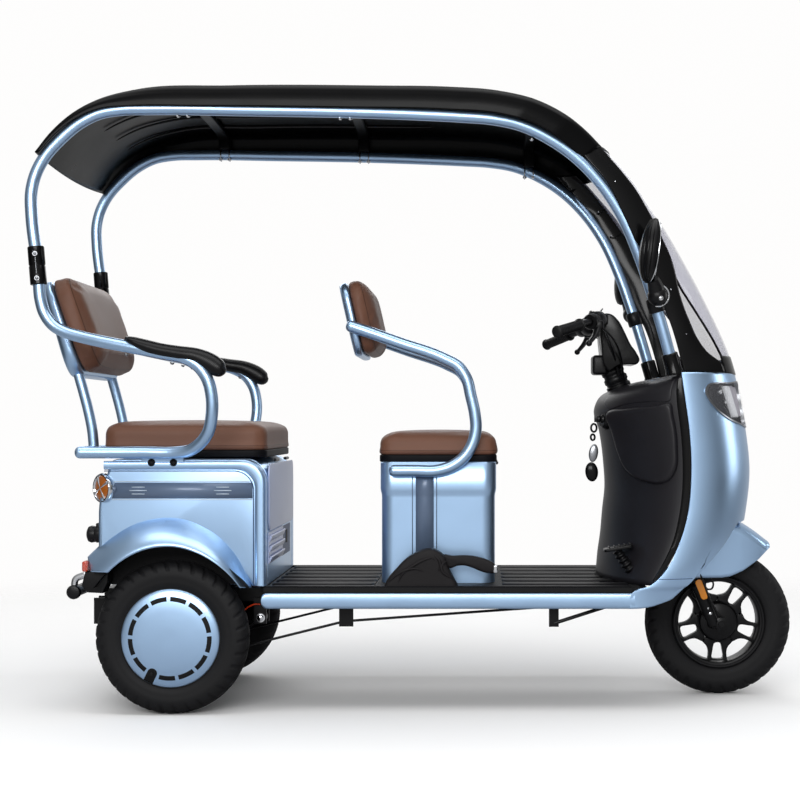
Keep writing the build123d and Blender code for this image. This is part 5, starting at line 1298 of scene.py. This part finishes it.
hook = smoothLine([(797, -70, 345), (803, -76, 330), (808, -80, 316), (803, -80, 303), (792, -80, 302),
                   (786, -80, 309)], 40)
arm = platePart(smoothLine([(-8, -6), (60, -8), (66, 0), (60, 7), (-8, 10), (-14, 2)], 40, True), 6, 1.5,
                (830, -40, 205), (-0.75, 0, 0.66), (0.66, 0, 0.75))
build("brakeHose", [tubePart(hose, 3.2, 12), tubePart(hook, 2.6, 10)], satinBlack, body="steering")
build("brakeArm", [arm, boltPart((792, -48, 238), (0, -1, 0), 5, 4)], blackMetal, body="steering")
print("fork made")


# Mirrors: an egg-shaped housing flattened behind, a ball joint and a clamp on the tube.

mirror = {"centre": np.array([602, -375, 1214]), "half": (30, 48, 85), "lean": 0.12, "flat": 14,
          "ball": np.array([622, -352, 1098.0]), "neck": np.array([607, -372, 1140.0]), "clampHeight": 1076,
          # how far round each rib stands, in quarter turns from straight outwards
          "ribs": (-0.7, -0.48, -0.26, -0.04)}
centre, ball, neck = mirror["centre"], mirror["ball"], mirror["neck"]


# the point of a tube's line nearest to a height
def lineAt(line, height):
    return line[np.argmin(np.abs(line[:, 2] - height))]


# a line over the housing from its shares of the half sizes: sin t at x and y, cos t at z
def mirrorLine(t, shareX, shareY, limit, shift, radius):
    x = np.minimum(mirror["half"][0] * np.sin(t) * shareX, limit)
    z = mirror["half"][2] * np.cos(t)
    path = np.stack([x + mirror["lean"] * z + shift, -mirror["half"][1] * np.sin(t) * shareY, z], -1)
    return tubePart(path + centre, radius, 8)


clampAt = lineAt(canopyLine, mirror["clampHeight"])
neckPath = [neck, (neck + ball) / 2 + np.array([0, 0, 6]), ball]
parts = [eggPart(centre, mirror["half"], 34, 48, mirror["lean"], mirror["flat"]),
         eggPart(ball, (27, 27, 27), 24, 32),
         tubePart(neckPath, [16, 20, 24], 24),
         rodPart(ball + np.array([6, 10, -10]), clampAt + np.array([4, -16, 0]), 11),
         lathePart([(16.3, -20), (21, -20), (23, -17), (23, 17), (21, 20), (16.3, 20)], clampAt,
                   lineAt(canopyLine, 1050) - clampAt, 32)]
build("mirrorHousings", bothSides(*parts), satinBlack, ["mirrors"], angle=50)
t = np.linspace(0.35, np.pi - 0.35, 30)
ribs = [mirrorLine(t, np.sin(k * np.pi / 2), np.cos(k * np.pi / 2), 100, 0, 1.8) for k in mirror["ribs"]]
build("mirrorRibs", bothSides(*ribs), glossBlack)
t = np.linspace(-1.8, 1.3, 24)
band = np.stack([ball[0] + 28.5 * np.cos(t), np.full(24, ball[1] - 9.0), ball[2] + 28.5 * np.sin(t)], -1)
shine = [tubePart(band, 2.0, 8), boltPart(ball + np.array([6, -27, -8]), (0.2, -1, -0.2), 4.5, 3),
         mirrorLine(np.linspace(0.45, np.pi - 0.2, 30), 0.5, 0.9, mirror["flat"], 3, 1.3)]
build("mirrorJoints", bothSides(*shine), chrome)
oval = smoothLine(np.stack([44 * np.cos(circle(24)), 74 * np.sin(circle(24))], -1), 64, True)
glass = platePart(oval, 2, 0.6, centre + np.array([15.5, 0, 0]), (0, 1, 0), (mirror["lean"], 0, 1))
build("mirrorGlass", bothSides(glass), chrome)
print("mirrors made")


# Handlebar: bar, grips, levers, switch housings, cowl and column.

handlebar = {
    # the near half of the bar, from its end to the middle
    "bar": [(358, -334, 1004.5), (416, -249, 1026), (458, -186, 1041), (480, -140, 1049), (497, -90, 1054),
            (505, -50, 1056), (507, 0, 1056.5)],
    "column": [(549, 0, 874), (536, 0, 930), (522, 0, 985), (508, 0, 1050)],
    "collar": (549, 0, 874), "gripRings": 13, "ringStep": 8,
    "lever": [(482, -178, 1034), (476, -196, 1020), (466, -222, 1000), (451, -252, 981)],
    "cowl": [(496, 1068), (508, 1073), (524, 1071), (544, 1054), (563, 1020), (580, 985), (596, 962),
             (604, 940), (597, 931), (574, 930), (545, 926), (520, 912), (504, 930), (498, 970), (494, 1030)],
}
farHalf = [(x, -y, z) for x, y, z in handlebar["bar"][-2::-1]]
build("handlebarTube", [tubePart(smoothLine(handlebar["bar"] + farHalf, 160), 11, 20),
                        tubePart([(630, 0, 674), handlebar["collar"]], 26, 32),
                        tubePart(smoothLine(handlebar["column"], 30), np.linspace(26, 17, 30), 28)],
      blackMetal, ["handlebar"], body="steering")
profile = [(0.01, 5), (10, 5), (14.5, 3), (16.5, 0), (16.5, -3), (14, -6)]
for k in range(handlebar["gripRings"]):
    base = -10 - k * handlebar["ringStep"]
    profile += [(13.4, base), (14.6, base - 2), (14.6, base - 5), (13.4, base - 7)]
profile += [(14, -116), (17.5, -118), (17.5, -122), (11.5, -122)]
build("gripsRubber", bothSides(lathePart(profile, (360, -333, 1005), (-0.543352, -0.815028, -0.201241), 32)),
      gripRubber, ["grips"], angle=40, body="steering")
barWay = np.array(handlebar["bar"][2]) - np.array(handlebar["bar"][3])
parts = [tubePart(smoothLine(handlebar["lever"], 30), np.linspace(6.5, 4.5, 30), 14, squash=1.5),
         eggPart((449, -256, 979), (8.5, 8.5, 8.5), 24, 32),
         lathePart([(11.2, -16), (19, -16), (21, -13), (21, 13), (19, 16), (11.2, 16)], (462, -180, 1042.5),
                   barWay, 28),
         boxPart((462, -196, 1018), (494, -160, 1046), 8)]
build("leversBrake", bothSides(*parts), blackMetal, ["brake_levers"], angle=45,
      body="steering")
pods = [lathePart([(11.2, -20), (20, -20), (24, -16), (25, 0), (24, 16), (20, 20), (11.2, 20)],
                  (478, -146, 1048), barWay, 24),
        boxPart((455, -170, 1049), (482, -132, 1071), 7), boxPart((486, -126, 1036), (512, -92, 1068), 8)]
pods += [lathePart([(0.01, 6), (3.5, 5.5), (4.5, 3), (4.5, -4)], at, (-0.5, 0, 0.86), 16)
         for at in ((462, -150, 1068), (470, -134, 1068), (455, -141, 1058))]
build("switchPods", bothSides(*pods), satinBlack, angle=50, body="steering")
build("cowlShell", [platePart(smoothLine(handlebar["cowl"], 140, True), 128, 5, (0, 64, 0), *sideways, 6)],
      glossBlack, ["handlebar_cover"], angle=50, body="steering")
collar = lathePart([(26, -16), (33, -16), (35, -12), (35, 0), (31, 3), (31, 8), (34, 11), (34, 22), (30, 26),
                    (30, 32), (33, 35), (33, 44), (28, 50), (26, 50)], handlebar["collar"], -axisDown, 40)
build("columnCovers", [boxPart((474, -42, 902), (517, 42, 957), 9),
                       boxPart((484, -54, 1020), (520, 54, 1064), 12),
                       boxPart((500, -40, 945), (545, 40, 1035), 14), collar], satinBlack,
      angle=50, body="steering")
build("meterGlass", [platePart(roundedOutline(92, 46, 12), 3, 1, (492, 0, 1069), (0, -1, 0),
                               (0.55, 0, 0.83))],
      glossBlack, body="steering")
cables = []
for side in (-1, 1):
    for radius, count, run in (
            (3, 60, [(486, 172, 1030), (520, 150, 1000), (548, 96, 950), (560, 48, 900), (572, 30, 862)]),
            (2.6, 50, [(496, 120, 1038), (520, 96, 985), (540, 56, 930), (552, 36, 885)])):
        cables.append(tubePart(smoothLine(np.array(run) * np.array([1, side, 1]), count), radius, 10))
build("controlCables", cables, satinBlack, body="steering")
print("handlebar made")


# Tail lamps: a chrome ring on a bowl, an amber lens and bright spokes behind it.

tail = {"at": np.array([-843, -313, 593.0]), "way": (-0.68, -0.73, 0),
        "ring": [(31, -2), (34, 3), (37, 3), (39.5, -1), (40, -8), (34, -22), (0.01, -26)],
        "lens": [(0.01, 5), (12, 4.5), (24, 2.5), (32, -1)], "spokes": (0.5, 2.07, 3.64, 5.21)}
build("tailRings", bothSides(lathePart(tail["ring"], tail["at"], tail["way"], 48)), chrome)
build("tailLenses", bothSides(lathePart(tail["lens"], tail["at"], tail["way"], 40)), amber,
      ["tail_lamps"])
lampWay = np.array([-0.682, -0.732, 0])
base = tail["at"] + lampWay * 4
spokes = []
for turn in tail["spokes"]:
    reach = np.array([0.732 * np.cos(turn), -0.682 * np.cos(turn), np.sin(turn)])
    spokes.append(tubePart([base, base + reach * 16 - lampWay, base + reach * 32 - lampWay * 3],
                           [1.5, 3, 4.5], 12))
build("tailSpokes", bothSides(*spokes), chrome)
build("rearReflectors", bothSides(boxPart((-889, -340, 374), (-874, -296, 402), 5)), lampRed)
knob = lathePart([(0.01, 36), (12, 36), (20, 32), (23, 24), (21, 14), (23, 10), (23, 0), (14, -4)],
                 (-851, -286, 470), (-1, 0, 0), 28)
build("rearKnobs", [knob, boxPart((-862, -300, 476), (-849, -262, 500), 4)], satinBlack)
print("tail lamps made")


# Rear bumper: a cross tube with capped ends, bright arms and dark brackets.

bumper = {"end": np.array([-920, -300, 317]), "radius": 15,
          "arm": [(-922, 330), (-918, 350), (-900, 359), (-872, 362), (-840, 362)], "armY": -286,
          "bracket": [(-894, 336), (-878, 318), (-838, 316), (-824, 344), (-824, 372), (-884, 376)]}
tube = rodPart(bumper["end"], bumper["end"] * np.array([1, -1, 1]), bumper["radius"], 32, 2)
cap = lathePart([(0.01, 9), (9, 9), (16, 7), (19, 2), (19, -8), (15, -10)], bumper["end"], (0, -1, 0), 28)
plate = platePart(bumper["bracket"], 60, 4, (0, -262, 0), *sideways)
build("rearBumper", [tube, *bothSides(cap, plate)], satinBlack, ["rear_bumper"])
arm = tubePart(sideLine(smoothLine(bumper["arm"], 40), bumper["armY"]), 9, 20)
build("bumperArms", bothSides(arm), chrome)
print("bumper made")


# Parking brake: a boot whose side outline swells in the middle, with folds, and a bent lever.

boot = {
    "outline": [(-97, 334), (-88, 352), (-66, 378), (-42, 403), (-13, 422), (14, 431), (34, 431), (52, 422),
                (64, 410), (72, 386), (80, 368), (92, 346), (98, 334)],
    "y": -285, "half": 26, "foot": (0, 334),
    # share of the outline and share of the half-width, from the middle of the flank to the edge
    "flank": [(0.02, 1.0), (0.4, 1.0), (0.7, 1.02), (0.88, 1.0), (0.96, 0.93), (0.99, 0.8), (1.0, 0.62)],
    "folds": [[(-60, 340), (-48, 366), (-20, 388), (12, 404), (30, 408), (40, 400)],
              [(-84, 344), (-66, 362), (-40, 376), (-12, 380), (10, 372)],
              [(70, 402), (56, 388), (58, 372), (70, 362), (82, 354)],
              [(36, 416), (50, 400), (52, 384), (46, 372)]],
    "lever": [(58, 414), (84, 413), (119, 414), (150, 410), (176, 402), (196, 390), (201, 379), (194, 367),
              (180, 366), (157, 372), (138, 380), (119, 386), (98, 386), (80, 380), (64, 384), (56, 400)],
}
line, foot = smoothLine(boot["outline"], 60), np.array(boot["foot"])
flanks = [[sideLine(foot + (line - foot) * s, boot["y"] + hand * boot["half"] * w)
           for s, w in boot["flank"][::-hand]] for hand in (-1, 1)]
swell = 4.5 * np.sin(np.linspace(0, np.pi, 40))**0.6 + 0.3
parts = [sheetPart(np.array(flanks[0] + flanks[1]))]
parts += [tubePart(sideLine(smoothLine(fold, 40), boot["y"] - boot["half"] + 0.5), swell, 14)
          for fold in boot["folds"]]
parts.append(platePart(smoothLine(boot["lever"], 100, True), 22, 7, (0, boot["y"] + 11, 0), *sideways))
build("brakeBoot", parts, bootBlack, ["parking_brake"], angle=70)
build("brakeLeverTip", [boxPart((192, boot["y"] - 12, 366), (204, boot["y"] + 12, 388), 4)], chrome)
print("parking brake made")


# Brake pedal: a flat pad with grip lines on a ribbed stem.

pedalLow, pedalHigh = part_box("brake_pedal")
pedalY = (pedalLow.y + pedalHigh.y) / 2 / mm
pedal = {"stem": [(528, 421), (545, 395), (566, 366), (594, 344)], "radius": 13, "ribs": 7,
         "pad": (78, 54, 10), "gripLines": 5}
stemRadius = pedal["radius"] + 2.6 * np.cos(np.linspace(0, pedal["ribs"] * 2 * np.pi, 60))
parts = [tubePart(sideLine(smoothLine(pedal["stem"], 60), pedalY), stemRadius, 20),
         platePart(roundedOutline(*pedal["pad"], 5), 9, 3, (530, pedalY, 424), (0.985, 0, 0.17), (0, 1, 0))]
parts += [rodPart(*[(505 + 14 * k, pedalY + y, 431 + 2.4 * k) for y in (-22, 22)], 1.6, 8)
          for k in range(pedal["gripLines"])]
build("brakePedalPad", parts, satinBlack, ["brake_pedal"], angle=50)
print("pedal made")


# Ignition lock, key and two fobs on a ring.

lock, keyWay = np.array([505, -90, 776.0]), (-0.9, -0.35, 0.1)
barrel = lathePart([(0.01, 14), (9, 14), (12, 9), (21, 9), (27, 3), (29, -6), (29, -16), (24, -24)], lock,
                   keyWay, 32)
build("ignitionLock", [barrel], satinBlack, ["ignition_key"])
parts = [lathePart([(0.01, 15), (5, 15), (8, 12), (10, 9), (10, 4)], lock + np.array([-12, -5, 0]), keyWay,
                   24),
         boxPart((474, -104, 768), (486, -100, 786), 1.5)]
for x, z, size in ((473, 752, 11), (470, 726, 8)):
    loop = sideLine(np.stack([x + size * np.cos(circle(40)) * 0.7, z + size * np.sin(circle(40))], -1), -102)
    parts.append(tubePart(np.vstack([loop, loop[:2]]), 3.0, 10))
build("keyRing", parts, blackMetal)
build("keyFobGrey", [eggPart((472, -102, 682), (13, 5, 25), lean=0.1)], steel)
build("keyFobBlack", [eggPart((467, -102, 630), (18, 9, 27), lean=-0.05)], glossBlack)
print("ignition made")


# Seat hinges: a knuckled barrel on each box's front edge. Then the spring hangers' bolts and the wire there.

knuckles = [rodPart((x, y - 32 + 22 * k, z), (x, y - 12 + 22 * k, z), 4.5, 16, 1)
            for x, z in ((203, 656), (-407, 664)) for y in (-110, 110) for k in range(3)]
build("hingeBarrels", knuckles, blackMetal, ["seat_hinges"])
build("hangerBolts", bothSides(boltPart((-436, -220.5, 239), (0, -1, 0), 9, 6)), chrome)
wire = smoothLine([(-482, -224, 258), (-466, -227, 270), (-450, -229, 277), (-436, -226, 276)], 16)
build("redWires", [tubePart(wire, 2.2, 8)], lampRed)
print("hinges made")


# Deck: raised ribs in two zones either side of the driver's box.

deck = {"top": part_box("floor_deck")[1].z / mm, "zones": ((214, 556), (-402, -124)), "ribs": 6, "half": 250,
        "radius": 9, "flat": 3.2,
        # distance from the rib's end, and share of its radius there
        "ends": [(0, 0.3), (3, 0.8), (10, 1)]}
fromEnd, rise = np.array(deck["ends"]).T
ribs = []
for x0, x1 in deck["zones"]:
    for y in np.linspace(-deck["half"], deck["half"], deck["ribs"]):
        x = np.concatenate([x0 + fromEnd, x1 - fromEnd[::-1]])
        path = np.stack([x, np.full(6, y), np.full(6, deck["top"] - 4.0)], -1)
        ribs.append(tubePart(path, deck["radius"] * np.concatenate([rise, rise[::-1]]), 20,
                             squash=deck["flat"]))
build("deckRibs", ribs, deckBlack, angle=50)
edge = boxPart((-416, -317, 318), (556, -296, deck["top"] + 1.5), 3)
build("deckEdges", bothSides(edge), deckBlack)
print("deck ribs made")


# Camera, floor and light.

view = {
    "eye": (0.157, -4.476, 0.760),   # level with the seats, square to the side
    "turn": (np.pi / 2, 0, 0),       # looks straight along +Y
    "lens": 70.9, "sensor": 36, "shift": (-0.1, 0.03125), "reach": 100,
}
# place, point lit, size and watts of each soft light
lights = {
    "top": ((0, -0.6, 4.2), (0, 0, 0.4), (5.2, 3.0), 122),
    "side": ((-0.5, -4.8, 2.2), (-0.1, 0, 0.6), (3.4, 1.4), 120),
    "front": ((3.6, 0.4, 1.3), (0.8, 0, 0.8), (1.0, 1.6), 16),
    "back": ((-0.5, 3.2, 2.6), (0, 0, 0.9), (4.0, 1.4), 40),
}
# strengths of the surroundings and their colour as seen
around = {"sides": 0.60, "above": 0.38, "everywhere": 0.02, "seen": (0.99, 0.985, 0.98, 1)}

lens = bpy.data.cameras.new("camera")
lens.lens, lens.sensor_width, lens.clip_end = view["lens"], view["sensor"], view["reach"]
lens.shift_x, lens.shift_y = view["shift"]
camera = addObject("camera", lens)
camera.location, camera.rotation_euler = view["eye"], view["turn"]
bpy.context.scene.camera = camera

for name, (place, aim, size, power) in lights.items():
    data = bpy.data.lights.new(name, "AREA")
    data.shape = "RECTANGLE"
    data.size, data.size_y = size
    data.energy = power
    light = addObject(name, data)
    light.location = place
    light.rotation_mode = "QUATERNION"
    light.rotation_quaternion = (Vector(aim) - Vector(place)).to_track_quat("-Z", "Y")

# the surroundings are bright before, above and behind the vehicle, and dim at both its ends;
# the camera sees them pale, also through the windscreen
world = bpy.data.worlds.new("world")
bpy.context.scene.world = world
world.use_nodes = True
tree = world.node_tree
heading = addNode(tree, "TexCoord").outputs["Generated"]
parted = addNode(tree, "SeparateXYZ", {0: heading}).outputs
fromSides = addMath(tree, "MULTIPLY", addMath(tree, "MULTIPLY", parted["Y"], parted["Y"]), around["sides"])
fromAbove = addMath(tree, "MULTIPLY", addMath(tree, "MAXIMUM", parted["Z"], 0.0), around["above"])
glow = addMath(tree, "ADD", addMath(tree, "ADD", fromSides, fromAbove), around["everywhere"])
sky = tree.nodes["Background"]
feed(tree, sky, {"Color": (1, 1, 1, 1), "Strength": glow})
seen = addNode(tree, "Background", {"Color": around["seen"]})
rays = addNode(tree, "LightPath").outputs
shown = addMath(tree, "MAXIMUM", rays["Is Camera Ray"], rays["Is Transmission Ray"])
mixer = addNode(tree, "MixShader", {0: shown, 1: sky.outputs[0], 2: seen.outputs[0]})
feed(tree, tree.nodes["World Output"], {"Surface": mixer.outputs[0]})
bpy.context.scene.view_settings.view_transform = "Standard"

# the floor is a disc that fades into the pale surroundings; it looks pale to the camera and sends little
# light up under the vehicle
floorLook = {"radius": 6000, "clear": 1.5, "gone": 4.0, "seen": (247, 247, 247), "lit": (170, 170, 172)}
floorFinish = finishOf("floorFinish", floorLook["seen"], 0.9, spread=0.0, specular=0.0)
tree = floorFinish.node_tree
where = addNode(tree, "TexCoord").outputs["Object"]
away = addNode(tree, "VectorMath", {0: where}, operation="LENGTH").outputs["Value"]
fade = addNode(tree, "MapRange", {"From Min": floorLook["clear"], "From Max": floorLook["gone"], "To Min": 1,
                                  "To Max": 0, "Value": away}, interpolation_type="SMOOTHSTEP")
tint = addNode(tree, "Mix", {"A": srgb(*floorLook["lit"]), "B": srgb(*floorLook["seen"]),
                             "Factor": addNode(tree, "LightPath").outputs["Is Camera Ray"]}, data_type="RGBA")
feed(tree, tree.nodes["Principled BSDF"], {"Alpha": fade.outputs["Result"],
                                           "Base Color": tint.outputs["Result"]})
rim = np.stack([np.cos(circle(96)), np.sin(circle(96))], -1)
points, faces = sheetPart(np.stack([flatRing(r * rim, 0) for r in (1, floorLook["radius"])]), wrap=True)
floorMesh = bpy.data.meshes.new("floor")
floorMesh.from_pydata((points * mm).tolist(), [], faces)
floorMesh.materials.append(floorFinish)
floor = addObject("floor", floorMesh)
floor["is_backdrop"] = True

low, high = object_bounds()
